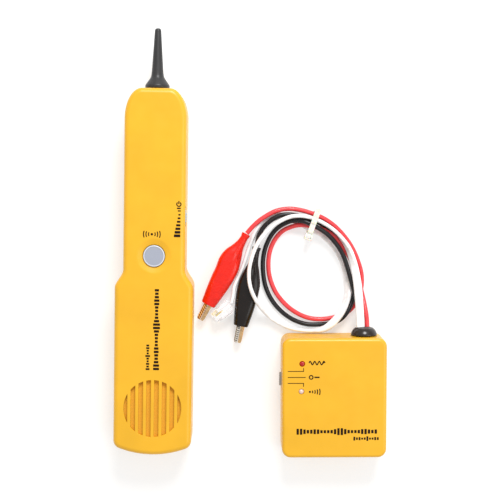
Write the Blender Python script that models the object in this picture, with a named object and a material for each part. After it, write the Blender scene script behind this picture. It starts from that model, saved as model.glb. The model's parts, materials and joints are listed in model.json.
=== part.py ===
"""Tone probe kit: a cable tracing receiver and its tone sender, lying on their backs on a table.

The receiver is a long two-shell handset with a pointed probe. The sender is a small box with three
leads, coiled once and tied: a red and a black wire to spring clips, and a flat cable to a phone plug.
Lengths are in millimetres here and are scaled to metres as each mesh is made. +Z points up out of
the front faces, +Y towards the probe's tip. The origin is under the middle of the two housings.
"""

import math

import bmesh
import bpy
from mathutils import Matrix, Vector

MM = 0.001
GAP = 0.3

# Receiver, in its own frame: x across, y from the rounded bottom end to the tip, z up from its back.
RECEIVER_AT = (-56.3, -120.0)
RECEIVER_TURN = -0.95
RECEIVER_HEIGHT = 29.0
RECEIVER_LENGTH = 242.8
LOWER_HALF = 22.2
UPPER_HALF = 17.5
STEP_LOW = 95.3
STEP_HIGH = 106.2
BODY_TOP = 208.4
SHOULDER = (9.7, 17.0)
BOTTOM_RADIUS = 54.0
BOTTOM_CORNER = 5.0
FRONT_ROUND = 3.0
BACK_ROUND = 1.2
WALL = 2.0
BUTTON_Y = 114.1
BUTTON_R = 6.05
DISH_R = 9.6
WHEEL_AT = (7.4, 136.6)
WHEEL_R = 11.0
WHEEL_Z = (23.3, 26.6)
SPEAKER_Y = 27.0
GRILLE_R = 16.4
SLOT_WIDTH = 2.6
SLOT_PITCH = 4.44
SLOTS = 8
PROBE_AXIS_Z = 14.5
RECEIVER_SCREWS = ((-16.2, 71.5), (16.2, 71.5), (-10.8, 187.0), (10.8, 187.0))

# Sender, in its own frame: x and y from its middle, z up from its back.
SENDER_AT = (48.3, -88.2)
SENDER_HALF = (30.05, 34.6)
SENDER_HEIGHT = 25.0
SENDER_CORNER = 5.0
SENDER_FRONT_ROUND = 2.0
SENDER_BACK_ROUND = 1.2
SWITCH_Y = 9.4
KNOB_HALF = (3.75, 1.5)
KNOB_TRAVEL = 2.0
TONE_LED_AT = (-18.65, 20.05)
CONTINUITY_LED_AT = (-19.05, 4.05)
LED_R = 1.5
GROMMET_X = 17.9
GROMMET_Z = 12.5
GROMMET_R = 7.6
SENDER_SCREWS = ((-24.4, -29.2), (-24.4, 29.2), (24.8, 23.8), (-4.2, -29.2))

# A nine volt block battery, with its terminals on +Y.
BATTERY = (26.5, 46.0, 17.5)
TERMINAL_HEIGHT = 2.4
RECEIVER_BATTERY_AT = (0.0, 8.0)
SENDER_BATTERY_AT = (13.0, -31.8)
DOOR_THICK = 2.0

# Leads. The wires are round, the phone cable is flat with rounded edges.
WIRE_DIAMETER = 2.7
CABLE_WIDTH = 4.8
CABLE_THICK = 2.2

# Spring clips: origin at the boot's wire end, -Y towards the jaws, the jaws' hinge pin along Z.
RED_CLIP_AT = (-2.1, 5.2, 4.8)
RED_CLIP_TURN = -28.4
BLACK_CLIP_AT = (4.0, -2.6, 4.9)
BLACK_CLIP_TURN = -11.5
CLIP_LENGTH = 57.0
BOOT_WALL = 0.9
PIN_Y = -24.0
JAW_HALF = 2.6
LEVER_HALF = 0.8
SPRING_WIRE = 0.4
# distance from the wire end, half width across the jaws, half thickness along the pin
BOOT_STATIONS = (
    (0.0, 2.2, 2.2),
    (8.0, 2.6, 2.5),
    (11.5, 3.6, 3.1),
    (15.0, 4.8, 3.8),
    (19.5, 6.0, 4.4),
    (24.0, 6.5, 4.6),
    (30.0, 6.4, 4.6),
    (40.0, 5.3, 4.5),
    (47.0, 4.3, 4.2),
)

# Modular phone plug: origin at its rear, -Y towards its nose, lying on a narrow side.
PLUG_AT = (-11.4, -36.2, 5.1)
PLUG_TURN = -50.0
PLUG_HALF = (3.3, 4.83)
PLUG_LENGTH = 12.3
CONTACT_PITCH = 1.27

# Cable tie round the bundle: its middle, and the way the bundle runs through it.
TIE_AT = (37.0, 12.4)
TIE_TURN = -19.5
TIE_HALF_WIDTH = 1.6

# Each lead's route from the grommet, chosen point by point so that no lead passes through another.
RED_ROUTE = (
    (68, -48.4, 12.5), (67.8, -43.5, 12.2), (67.2, -38.5, 10.6), (66.3, -33, 8), (65, -27, 5.9),
    (63.6, -21.5, 5), (61.4, -15.2, 4.8), (58.4, -8.7, 4.7), (54.4, -2.7, 4.5), (49.5, 3.2, 4.6),
    (43.5, 7.2, 4.9), (36.2, 9.8, 6.1), (29.5, 10.4, 5), (23.7, 9, 2.6), (18.6, 6.2, 1.6),
    (14.2, 0.8, 1.5), (11.6, -6, 1.5), (10.9, -14, 1.5), (12, -21.5, 1.5), (15.2, -29.3, 1.5),
    (20.4, -36, 1.5), (26.6, -41, 1.5), (34, -44.4, 1.5), (42, -45.4, 1.5), (50.2, -44.2, 1.5),
    (56.3, -42, 1.5), (61, -38, 1.5), (64.2, -32.2, 1.5), (65.8, -25.5, 1.5), (65.7, -18.5, 1.5),
    (63.8, -11.5, 1.5), (60.6, -4, 1.5), (56, 3, 1.5), (49.8, 9.6, 1.6), (43.5, 14, 2.3),
    (37, 16.8, 3), (30.2, 18.9, 3.2), (22.5, 19.8, 3.6), (14.5, 18.3, 4.2), (6.6, 13.8, 4.7),
    (1.6, 9.4, 4.8), (-1.8, 5.5, 4.8),
)
BLACK_ROUTE = (
    (64.6, -48.4, 10.6), (64.3, -43.5, 10.3), (63.4, -38.5, 9.3), (62, -32, 8.1), (60.2, -26, 7.5),
    (58.6, -20.5, 7.3), (56.6, -13.5, 7.3), (54, -6.5, 7.3), (50, -0.2, 7.4), (44.5, 5.6, 7.7),
    (37.3, 10.1, 9.1), (31, 12.7, 8.1), (24.7, 12.8, 5.1), (18, 9.8, 2.3), (13.2, 5.2, 1.6),
    (9.7, -1.5, 1.5), (7.9, -9, 1.5), (7.8, -17.2, 1.5), (9.3, -26, 1.5), (13.1, -34.2, 1.5),
    (18.7, -40.8, 1.5), (25.5, -45.6, 1.5), (33.3, -48.3, 1.5), (41, -48.5, 1.6), (47.8, -47.7, 2.7),
    (53, -45.3, 4.6), (57, -41, 4.9), (59.8, -35.5, 3.2), (61.4, -29.5, 1.9), (62, -23, 1.6),
    (61.4, -16, 1.5), (59.2, -8.8, 1.5), (55.8, -2.2, 1.5), (51, 3.8, 1.5), (45.2, 8.9, 1.8),
    (38, 12.7, 2.9), (32.2, 14.7, 3.9), (26, 16.2, 4.5), (18.5, 16.2, 4.7), (12, 12.8, 4.8),
    (7.5, 8.4, 4.9), (4.9, 2.8, 4.9), (4.1, -2.2, 4.9),
)
# The flat cable's fourth value is its tilt in degrees: 0 lies flat, 90 stands on edge.
CABLE_ROUTE = (
    (64, -48.4, 14, 0), (63.8, -43.5, 13.8, 0), (63.6, -38.5, 13, 0), (63.2, -32, 11.9, 0),
    (62.7, -25.5, 10.7, 5), (61.7, -18.5, 9.7, 20), (59.9, -10.5, 9.1, 40), (56.9, -2.4, 8.3, 65),
    (51.6, 5, 7.2, 90), (45, 10.3, 7, 90), (37.6, 14, 8.2, 90), (30.9, 15.8, 9, 90),
    (24.2, 15.6, 9.2, 90), (17.5, 13, 9.4, 90), (11.7, 8.9, 9.9, 90), (6.6, 3.4, 11, 90),
    (2.8, -3, 12, 90), (0.4, -10.2, 12.4, 90), (-0.7, -17.8, 12.5, 90), (0.2, -25.3, 12.5, 90),
    (3, -32.2, 11.6, 90), (6.6, -38, 7.8, 90), (11, -43, 4, 90), (15.6, -46.6, 2.8, 90),
    (21.8, -49.7, 2.7, 90),
    (29.2, -51.5, 2.7, 90), (37, -51.7, 3.4, 80), (43.6, -50.5, 5.4, 60), (48.7, -46.7, 6.5, 40),
    (53.1, -41.3, 6.6, 45), (56.4, -35, 5.6, 60), (57.9, -28, 3.8, 50), (57.5, -20.6, 2.1, 15),
    (55.6, -12.8, 1.6, 0), (52.2, -5.3, 1.5, 0), (47, 1.3, 1.5, 0), (41.5, 5.9, 1.7, 0),
    (35, 9.1, 2.8, 0), (28.6, 12.4, 1.7, 0), (21.8, 14.9, 1.4, 0), (14.6, 15.1, 1.5, 0),
    (8.4, 11.5, 2, 20), (3.5, 5.6, 2.9, 60), (0.2, -1, 3, 90), (-2.2, -8.4, 3.2, 90),
    (-4.4, -14.9, 3.5, 90), (-6.2, -19, 3.8, 90), (-7.8, -22.4, 4.1, 90), (-9.2, -26, 4.5, 90),
    (-9.8, -30.6, 4.9, 90), (-10.9, -35.3, 5.1, 90),
)

YELLOW = ("yellow_abs", (0.95, 0.55, 0.05), 0.35, 0.0)
DARK = ("dark_plastic", (0.03, 0.03, 0.035), 0.45, 0.0)
GREY = ("grey_plastic", (0.45, 0.48, 0.56), 0.45, 0.0)
BOARD = ("board_green", (0.02, 0.18, 0.07), 0.5, 0.0)
CHIP = ("chip_black", (0.02, 0.02, 0.02), 0.4, 0.0)
STEEL = ("steel", (0.6, 0.6, 0.6), 0.3, 1.0)
BRASS = ("brass", (0.75, 0.52, 0.25), 0.3, 1.0)
OCHRE = ("ochre_cloth", (0.75, 0.36, 0.05), 0.9, 0.0)
PAPER = ("cone_paper", (0.05, 0.05, 0.05), 0.9, 0.0)
FERRITE = ("ferrite", (0.07, 0.06, 0.06), 0.6, 0.0)
CAN = ("battery_can", (0.25, 0.27, 0.3), 0.35, 0.6)
RED_LENS = ("red_lens", (0.7, 0.02, 0.02), 0.15, 0.0)
CLEAR_LENS = ("clear_lens", (0.9, 0.8, 0.78), 0.15, 0.0)
RED_RUBBER = ("red_rubber", (0.85, 0.05, 0.02), 0.45, 0.0)
BLACK_RUBBER = ("black_rubber", (0.02, 0.02, 0.02), 0.35, 0.0)
WHITE_RUBBER = ("white_rubber", (0.9, 0.9, 0.9), 0.4, 0.0)
NYLON = ("natural_nylon", (0.85, 0.83, 0.75), 0.4, 0.0)
CLEAR_PLASTIC = ("clear_plastic", (0.9, 0.92, 0.92), 0.1, 0.0)


# Scene and material helpers


def clear_scene():
    for old in list(bpy.data.objects):
        bpy.data.objects.remove(old, do_unlink=True)


def material(spec):
    name, colour, roughness, metallic = spec
    made = bpy.data.materials.get(name)
    if made is None:
        made = bpy.data.materials.new(name)
        made.use_nodes = True
        shader = made.node_tree.nodes["Principled BSDF"]
        shader.inputs["Base Color"].default_value = (*colour, 1.0)
        shader.inputs["Roughness"].default_value = roughness
        shader.inputs["Metallic"].default_value = metallic
    return made


def empty(name, at, turn):
    """A frame to parent pieces to, at a place in millimetres, turned about Z in degrees."""
    made = bpy.data.objects.new(name, None)
    bpy.context.scene.collection.objects.link(made)
    made.location = Vector((at[0], at[1], at[2] if len(at) > 2 else 0.0)) * MM
    made.rotation_euler = (0.0, 0.0, math.radians(turn))
    return made


def add(name, mesh, finish, frame, at=(0.0, 0.0, 0.0), smooth=35.0):
    """Links a mesh as an object. Its origin is put at the given place in its frame."""
    made = bpy.data.objects.new(name, mesh)
    bpy.context.scene.collection.objects.link(made)
    mesh.transform(Matrix.Translation(-Vector(at)))
    mesh.transform(Matrix.Scale(MM, 4))
    made.location = Vector(at) * MM
    made.parent = frame
    mesh.materials.append(material(finish))
    if smooth:
        mesh.shade_smooth()
        mesh.set_sharp_from_angle(angle=math.radians(smooth))
    return made


# Mesh builders, all in millimetres


def mesh_from(bm, name):
    bmesh.ops.recalc_face_normals(bm, faces=bm.faces)
    mesh = bpy.data.meshes.new(name)
    bm.to_mesh(mesh)
    bm.free()
    return mesh


def loft(name, rings):
    """A closed solid through rings of the same number of points, with its two ends filled."""
    bm = bmesh.new()
    loops = [[bm.verts.new(p) for p in ring] for ring in rings]
    count = len(loops[0])
    for low, high in zip(loops, loops[1:]):
        for i in range(count):
            j = (i + 1) % count
            bm.faces.new((low[i], low[j], high[j], high[i]))
    bm.faces.new(loops[0])
    bm.faces.new(loops[-1])
    return mesh_from(bm, name)


def tube(name, outer, inner):
    """A sleeve: outer and inner rings, station by station, joined at both open ends."""
    bm = bmesh.new()
    path = list(outer) + list(reversed(inner))
    loops = [[bm.verts.new(p) for p in ring] for ring in path]
    count = len(loops[0])
    for low, high in zip(loops, loops[1:] + loops[:1]):
        for i in range(count):
            j = (i + 1) % count
            bm.faces.new((low[i], low[j], high[j], high[i]))
    return mesh_from(bm, name)


def at_height(outline, z):
    return [(x, y, z) for x, y in outline]


def prism(name, outline, low, high):
    return loft(name, [at_height(outline, low), at_height(outline, high)])


def rectangle(x0, x1, y0, y1):
    return [(x0, y0), (x1, y0), (x1, y1), (x0, y1)]


def block(name, low, high):
    return prism(name, rectangle(low[0], high[0], low[1], high[1]), low[2], high[2])


def arc(centre, radius, start, end, steps):
    """Points on an arc, with its angles in degrees."""
    points = []
    for i in range(steps + 1):
        a = math.radians(start + (end - start) * i / steps)
        points.append((centre[0] + radius * math.cos(a), centre[1] + radius * math.sin(a)))
    return points


def rounded_rectangle(x0, x1, y0, y1, radius, steps=4):
    corners = (
        ((x1 - radius, y0 + radius), -90),
        ((x1 - radius, y1 - radius), 0),
        ((x0 + radius, y1 - radius), 90),
        ((x0 + radius, y0 + radius), 180),
    )
    return [p for centre, a in corners for p in arc(centre, radius, a, a + 90, steps)]


def inset(outline, distance):
    """The outline moved inwards by a distance smaller than its tightest bend."""
    count = len(outline)
    out = []
    for i in range(count):
        before, after = Vector(outline[i - 1]), Vector(outline[(i + 1) % count])
        along = (after - before).normalized()
        out.append((outline[i][0] - along.y * distance, outline[i][1] + along.x * distance))
    return out


def turned(name, profile, centre, along="z", segments=24):
    """A solid of revolution from (radius, height) pairs. A radius of 0 closes an end at a point."""
    bm = bmesh.new()

    def place(radius, height, a):
        u, v = radius * math.cos(a), radius * math.sin(a)
        if along == "z":
            return (centre[0] + u, centre[1] + v, centre[2] + height)
        return (centre[0] + u, centre[1] + height, centre[2] - v)

    rings = []
    for radius, height in profile:
        if radius == 0:
            rings.append([bm.verts.new(place(0, height, 0))])
        else:
            angles = [2 * math.pi * i / segments for i in range(segments)]
            rings.append([bm.verts.new(place(radius, height, a)) for a in angles])
    for low, high in zip(rings, rings[1:]):
        for i in range(segments):
            j = (i + 1) % segments
            corners = [low[i % len(low)], low[j % len(low)], high[j % len(high)], high[i % len(high)]]
            bm.faces.new(list(dict.fromkeys(corners)))
    for ring in (rings[0], rings[-1]):
        if len(ring) > 1:
            bm.faces.new(ring)
    return mesh_from(bm, name)


def cylinder(name, centre, radius, low, high, along="z", segments=24):
    return turned(name, [(radius, low), (radius, high)], centre, along, segments)


def ring_solid(name, section, centre, segments, along="z"):
    """A ring of revolution: the closed section never touches the axis."""
    bm = bmesh.new()
    loops = []
    for i in range(segments):
        a = 2 * math.pi * i / segments
        loop = []
        for radius, height in section:
            u, v = radius * math.cos(a), radius * math.sin(a)
            at = (u, v, height) if along == "z" else (u, height, -v)
            loop.append(bm.verts.new(Vector(centre) + Vector(at)))
        loops.append(loop)
    count = len(section)
    for i in range(segments):
        low, high = loops[i], loops[(i + 1) % segments]
        for k in range(count):
            m = (k + 1) % count
            bm.faces.new((low[k], low[m], high[m], high[k]))
    return mesh_from(bm, name)


# Modifiers


def boolean(piece, mesh, operation):
    """Cuts a mesh away from a piece, or joins it on. The tool object stays as a wire guide."""
    tool = bpy.data.objects.new(f"tool_{len(bpy.data.objects):03d}", mesh)
    bpy.context.scene.collection.objects.link(tool)
    tool.data.transform(Matrix.Translation(-piece.location / MM))
    tool.data.transform(Matrix.Scale(MM, 4))
    tool.location = piece.location
    tool.parent = piece.parent
    tool.hide_render = True
    tool.display_type = "WIRE"
    step = piece.modifiers.new(operation.lower(), "BOOLEAN")
    step.operation = operation
    step.object = tool
    step.solver = "EXACT"


def cut(piece, *meshes):
    for mesh in meshes:
        boolean(piece, mesh, "DIFFERENCE")


def join(piece, *meshes):
    for mesh in meshes:
        boolean(piece, mesh, "UNION")


# Outlines


def receiver_outline():
    """The receiver seen from the front, anticlockwise from the middle of its bottom end."""
    corner_x = LOWER_HALF - BOTTOM_CORNER
    reach = BOTTOM_RADIUS - BOTTOM_CORNER
    corner_y = BOTTOM_RADIUS - math.sqrt(reach**2 - corner_x**2)
    meet = math.degrees(math.atan2(corner_y - BOTTOM_RADIUS, corner_x))
    right = arc((0, BOTTOM_RADIUS), BOTTOM_RADIUS, -90, meet, 5)[:-1]
    right += arc((corner_x, corner_y), BOTTOM_CORNER, meet, 0, 5)
    steps = 7
    for i in range(steps + 1):
        t = i / steps
        ease = (1 - math.cos(math.pi * t)) / 2
        right.append(
            (LOWER_HALF + (UPPER_HALF - LOWER_HALF) * ease, STEP_LOW + (STEP_HIGH - STEP_LOW) * t)
        )
    rx, ry = SHOULDER
    for i in range(9):
        a = math.radians(90 * i / 8)
        right.append((UPPER_HALF - rx + rx * math.cos(a), BODY_TOP - ry + ry * math.sin(a)))
    left = [(-x, y) for x, y in reversed(right[1:])]
    return right + left


def sender_outline():
    x, y = SENDER_HALF
    return rounded_rectangle(-x, x, -y, y, SENDER_CORNER, 5)


def rounded_body(name, outline, low, high, round_low=0.0, round_high=0.0, steps=4):
    """A prism whose lower or upper rim is rounded."""
    rings = []
    if round_low:
        for i in range(steps):
            a = math.pi / 2 * i / steps
            shift, rise = round_low * (1 - math.sin(a)), round_low * (1 - math.cos(a))
            rings.append(at_height(inset(outline, shift), low + rise))
        rings.append(at_height(outline, low + round_low))
    else:
        rings.append(at_height(outline, low))
    if round_high:
        rings.append(at_height(outline, high - round_high))
        for i in range(1, steps + 1):
            a = math.pi / 2 * i / steps
            shift, rise = round_high * (1 - math.cos(a)), round_high * math.sin(a)
            rings.append(at_height(inset(outline, shift), high - round_high + rise))
    else:
        rings.append(at_height(outline, high))
    return loft(name, rings)


# Receiver


def receiver_screw_posts(low, high, radius):
    return [cylinder("post", (x, y, 0), radius, low, high) for x, y in RECEIVER_SCREWS]


def probe_hole():
    return cylinder("probe_hole", (0, 0, PROBE_AXIS_Z), 5.2, BODY_TOP - 4, BODY_TOP + 1, "y")


def grille_slot(x):
    """One sound slot: a strip across the speaker's circle, clipped by it."""
    left, right = x - SLOT_WIDTH / 2, min(x + SLOT_WIDTH / 2, GRILLE_R - 0.02)
    if left < -GRILLE_R:
        left = -GRILLE_R + 0.02
    steps = 5
    xs = [left + (right - left) * i / steps for i in range(steps + 1)]
    lower = [(u, SPEAKER_Y - math.sqrt(GRILLE_R**2 - u * u)) for u in xs]
    upper = [(u, SPEAKER_Y + math.sqrt(GRILLE_R**2 - u * u)) for u in reversed(xs)]
    return prism("slot", lower + upper, RECEIVER_HEIGHT - 3, RECEIVER_HEIGHT + 1)


def receiver_front_shell(frame):
    split = RECEIVER_HEIGHT / 2 + GAP / 2
    outline = receiver_outline()
    mesh = rounded_body("shell", outline, split, RECEIVER_HEIGHT, round_high=FRONT_ROUND)
    shell = add("receiver_front_shell", mesh, YELLOW, frame)
    ceiling = RECEIVER_HEIGHT - WALL
    cavity = rounded_body("cavity", inset(outline, WALL), split - 2, ceiling, round_high=1.0, steps=2)
    cut(shell, cavity)
    join(shell, *receiver_screw_posts(split, ceiling + 0.5, 3.0))
    cut(shell, *receiver_screw_posts(split - 1, ceiling - 1, 1.4))
    cut(shell, probe_hole())
    dish = [(BUTTON_R + GAP, 20.0), (BUTTON_R + GAP, 28.1), (DISH_R, RECEIVER_HEIGHT), (DISH_R, 31.0)]
    cut(shell, turned("dish", dish, (0, BUTTON_Y, 0), segments=40))
    wx, wy = WHEEL_AT
    cut(shell, cylinder("slot", (wx, wy, 0), WHEEL_R + 0.5, WHEEL_Z[0] - GAP, WHEEL_Z[1] + GAP))
    for i in range(SLOTS):
        cut(shell, grille_slot((i - (SLOTS - 1) / 2) * SLOT_PITCH))
    return shell


def receiver_back_shell(frame):
    split = RECEIVER_HEIGHT / 2 - GAP / 2
    outline = receiver_outline()
    mesh = rounded_body("shell", outline, 0, split, round_low=BACK_ROUND, steps=2)
    shell = add("receiver_back_shell", mesh, YELLOW, frame)
    cut(shell, prism("cavity", inset(outline, WALL), WALL, split + 2))
    join(shell, *receiver_screw_posts(WALL - 0.5, split, 3.4))
    cut(shell, *receiver_screw_posts(-1, split + 1, 1.5))
    cut(shell, *receiver_screw_posts(-1, 4.2, 2.8))
    cut(shell, probe_hole())
    cut(shell, block("door_way", (-16, -5, -1), (16, 62, DOOR_THICK + GAP)))
    return shell


def receiver_battery_door(frame):
    """The sliding battery cover. Its bottom edge follows the housing's rounded end."""
    half, top = 15.7, 61.7
    low = [
        (x, BOTTOM_RADIUS - math.sqrt(BOTTOM_RADIUS**2 - x * x))
        for x in [half * (i / 4 - 1) for i in range(9)]
    ]
    outline = low + [(half, top), (-half, top)]
    rings = [at_height(inset(outline, 0.6), 0), at_height(outline, 0.6), at_height(outline, DOOR_THICK)]
    door = add("receiver_battery_door", loft("door", rings), YELLOW, frame)
    for i in range(5):
        y = 44 + 3 * i
        cut(door, block("groove", (-7, y, -1), (7, y + 1.3, 0.7)))
    return door


def probe_tip(frame):
    """The antenna housing: a collar and a slim cone, bored for the antenna from its flange end."""
    end = RECEIVER_LENGTH
    outer = [
        (6.5, BODY_TOP - 4.6), (6.5, BODY_TOP - WALL - GAP), (4.9, BODY_TOP - WALL - GAP),
        (4.9, BODY_TOP + GAP), (6.5, BODY_TOP + GAP), (6.9, BODY_TOP + 1.0), (6.9, BODY_TOP + 3.4),
        (6.2, BODY_TOP + 4.2), (4.4, BODY_TOP + 5.6), (3.4, BODY_TOP + 6.9), (3.1, BODY_TOP + 8.2),
        (2.3, end - 12.0), (1.6, end - 1.4), (1.2, end - 0.5), (0.0, end),
    ]
    bore = [(0.0, end - 6.0), (1.4, end - 6.6), (1.6, BODY_TOP + 2)]
    bore += [(2.0, BODY_TOP - 4.6)]
    profile = list(reversed(outer)) + list(reversed(bore))
    mesh = turned("tip", profile, (0, 0, PROBE_AXIS_Z), "y", 28)
    return add("probe_tip", mesh, DARK, frame, (0, BODY_TOP, PROBE_AXIS_Z))


def antenna_core(frame):
    centre = (0, 0, PROBE_AXIS_Z)
    mesh = cylinder("core", centre, 1.0, BODY_TOP - 11, RECEIVER_LENGTH - 7.5, "y", 12)
    return add("antenna_core", mesh, FERRITE, frame, (0, BODY_TOP, PROBE_AXIS_Z))


def test_button(frame):
    profile = [
        (2.0, 19.6), (2.0, 24.4), (7.3, 24.4), (7.3, 26.2), (BUTTON_R, 26.2), (BUTTON_R, 28.4),
        (BUTTON_R - 0.7, 29.1), (BUTTON_R - 1.5, 29.2), (2.5, 29.35), (0.0, 29.4),
    ]
    mesh = turned("button", profile, (0, BUTTON_Y, 0), segments=32)
    return add("test_button", mesh, GREY, frame, (0, BUTTON_Y, 26.2))


def test_switch(frame):
    mesh = block("switch", (-3, BUTTON_Y - 3, 14.9), (3, BUTTON_Y + 3, 17.8))
    switch = add("test_switch", mesh, CHIP, frame, (0, BUTTON_Y, 16))
    join(switch, cylinder("plunger", (0, BUTTON_Y, 0), 1.7, 17.0, 18.4, segments=16))
    return switch


def volume_wheel(frame):
    """A knurled thumbwheel on the control's shaft, showing through the slot in the side wall."""
    teeth = 36
    rim = []
    for i in range(teeth):
        a = 2 * math.pi * i / teeth
        for shift, radius in ((0.0, WHEEL_R), (0.45, WHEEL_R), (0.6, WHEEL_R - 0.5), (0.85, WHEEL_R - 0.5)):
            b = a + shift * 2 * math.pi / teeth
            rim.append((WHEEL_AT[0] + radius * math.cos(b), WHEEL_AT[1] + radius * math.sin(b)))
    wheel = add("volume_wheel", prism("wheel", rim, *WHEEL_Z), GREY, frame, (*WHEEL_AT, WHEEL_Z[0]), 0)
    cut(wheel, cylinder("bore", (*WHEEL_AT, 0), 1.7, WHEEL_Z[0] - 1, WHEEL_Z[1] + 1, segments=20))
    return wheel


def volume_control(frame):
    x, y = WHEEL_AT
    mesh = block("control", (x - 5, y - 5, 14.9), (x + 5, y + 5, 22.6))
    control = add("volume_control", mesh, CHIP, frame, (x, y, 18))
    join(control, cylinder("shaft", (x, y, 0), 1.35, 22.0, 26.2, segments=16))
    return control


def receiver_board(frame):
    mesh = prism("board", rounded_rectangle(-14, 14, 78, 181, 1.5, 2), 13.0, 14.6)
    return add("receiver_board", mesh, BOARD, frame, (0, 130, 13.8))


def amplifier_chip(frame):
    return add("amplifier_chip", block("chip", (-9, 156, 14.9), (1, 166, 17.1)), CHIP, frame, (-4, 161, 15))


def speaker_frame(frame):
    profile = [
        (9.6, 22.7), (9.6, 23.4), (15.4, 25.2), (15.4, 26.0),
        (17.6, 26.0), (17.6, 25.0), (16.4, 24.4), (10.4, 22.3),
    ]
    mesh = ring_solid("frame", profile, (0, SPEAKER_Y, 0), 32)
    return add("speaker_frame", mesh, STEEL, frame, (0, SPEAKER_Y, 24))


def speaker_cone(frame):
    """The paper diaphragm with its dust cap, as one thin cone standing inside the frame."""
    profile = [(0.0, 23.0), (8.8, 23.2), (15.1, 25.5), (15.1, 25.9), (8.6, 23.9), (4.6, 24.0)]
    profile += [(3.0, 24.9), (0.0, 25.2)]
    mesh = turned("cone", profile, (0, SPEAKER_Y, 0), segments=32)
    return add("speaker_cone", mesh, PAPER, frame, (0, SPEAKER_Y, 24))


def speaker_magnet(frame):
    mesh = turned("magnet", [(8.6, 20.3), (9.2, 20.7), (9.2, 22.6)], (0, SPEAKER_Y, 0), segments=32)
    return add("speaker_magnet", mesh, FERRITE, frame, (0, SPEAKER_Y, 21))


def grille_cloth(frame):
    mesh = cylinder("cloth", (0, SPEAKER_Y, 0), 17.8, 26.3, 26.7, segments=40)
    return add("grille_cloth", mesh, OCHRE, frame, (0, SPEAKER_Y, 26.5))


def battery(name, frame, at):
    """A nine volt block: a rounded can with a round and a wide terminal on its +Y end."""
    x, y = at
    width, length, height = BATTERY
    low, high = DOOR_THICK + 0.4, DOOR_THICK + 0.4 + height
    outline = rounded_rectangle(x - width / 2, x + width / 2, low, high, 2.4, 3)
    rings = [[(u, y + v, w) for u, w in outline] for v in (0, length)]
    can = add(name, loft("can", rings), CAN, frame, (x, y, low))
    mid = (low + high) / 2
    join(can, cylinder("stud", (x - 6.35, 0, mid), 2.9, y + length - 1, y + length + TERMINAL_HEIGHT, "y", 16))
    join(can, cylinder("cup", (x + 6.35, 0, mid), 3.9, y + length - 1, y + length + TERMINAL_HEIGHT, "y", 12))
    return can


def battery_snap(name, frame, at):
    """The moulded snap that plugs onto the battery's two terminals."""
    x, y = at
    width, length, height = BATTERY
    mid = DOOR_THICK + 0.4 + height / 2
    near = y + length + GAP
    outline = rounded_rectangle(x - 12, x + 12, mid - 6, mid + 6, 2.5, 3)
    rings = [[(u, near + v, w) for u, w in outline] for v in (0, 4.2)]
    snap = add(name, loft("snap", rings), CHIP, frame, (x, near, mid))
    for shift, radius in ((-6.35, 3.3), (6.35, 4.3)):
        cut(snap, cylinder("socket", (x + shift, 0, mid), radius, near - 1, near + TERMINAL_HEIGHT + 0.2, "y", 20))
    return snap


def screws(prefix, frame, places, length):
    """Countersunk pan-head screws, driven up from the back."""
    for number, (x, y) in enumerate(places, 1):
        profile = [(2.4, 1.6), (2.4, 3.2), (1.1, 3.9), (1.1, length - 1), (0.0, length)]
        screw = add(f"{prefix}_{number}", turned("screw", profile, (x, y, 0), segments=14), STEEL, frame, (x, y, 2))
        cut(screw, block("drive", (x - 1.7, y - 0.3, 1.0), (x + 1.7, y + 0.3, 2.4)))
        cut(screw, block("drive", (x - 0.3, y - 1.7, 1.0), (x + 0.3, y + 1.7, 2.4)))


def receiver():
    frame = empty("receiver_frame", RECEIVER_AT, RECEIVER_TURN)
    receiver_back_shell(frame)
    receiver_front_shell(frame)
    receiver_battery_door(frame)
    probe_tip(frame)
    antenna_core(frame)
    test_button(frame)
    test_switch(frame)
    volume_wheel(frame)
    volume_control(frame)
    receiver_board(frame)
    amplifier_chip(frame)
    speaker_frame(frame)
    speaker_cone(frame)
    speaker_magnet(frame)
    grille_cloth(frame)
    battery("receiver_battery", frame, RECEIVER_BATTERY_AT)
    battery_snap("receiver_battery_snap", frame, RECEIVER_BATTERY_AT)
    screws("receiver_screw", frame, RECEIVER_SCREWS, 24.0)


# Sender


def sender_screw_posts(low, high, radius):
    return [cylinder("post", (x, y, 0), radius, low, high) for x, y in SENDER_SCREWS]


def grommet_hole():
    y = SENDER_HALF[1]
    return cylinder("grommet_hole", (GROMMET_X, 0, GROMMET_Z), 5.3, y - 4, y + 1, "y")


def switch_slot():
    long, high = KNOB_HALF[0] + KNOB_TRAVEL + GAP, KNOB_HALF[1] + GAP
    x = -SENDER_HALF[0]
    return block(
        "slot", (x - 1, SWITCH_Y - long, GROMMET_Z - high), (x + 3, SWITCH_Y + long, GROMMET_Z + high)
    )


def sender_front_shell(frame):
    split = GROMMET_Z + GAP / 2
    outline = sender_outline()
    mesh = rounded_body("shell", outline, split, SENDER_HEIGHT, round_high=SENDER_FRONT_ROUND)
    shell = add("sender_front_shell", mesh, YELLOW, frame)
    ceiling = SENDER_HEIGHT - WALL
    cut(shell, prism("cavity", inset(outline, WALL), split - 2, ceiling))
    join(shell, *sender_screw_posts(split, ceiling + 0.5, 3.0))
    cut(shell, *sender_screw_posts(split - 1, ceiling - 1, 1.4))
    cut(shell, grommet_hole(), switch_slot())
    for x, y in (TONE_LED_AT, CONTINUITY_LED_AT):
        cut(shell, cylinder("led_hole", (x, y, 0), LED_R + GAP, ceiling - 1, SENDER_HEIGHT + 1))
    return shell


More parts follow.
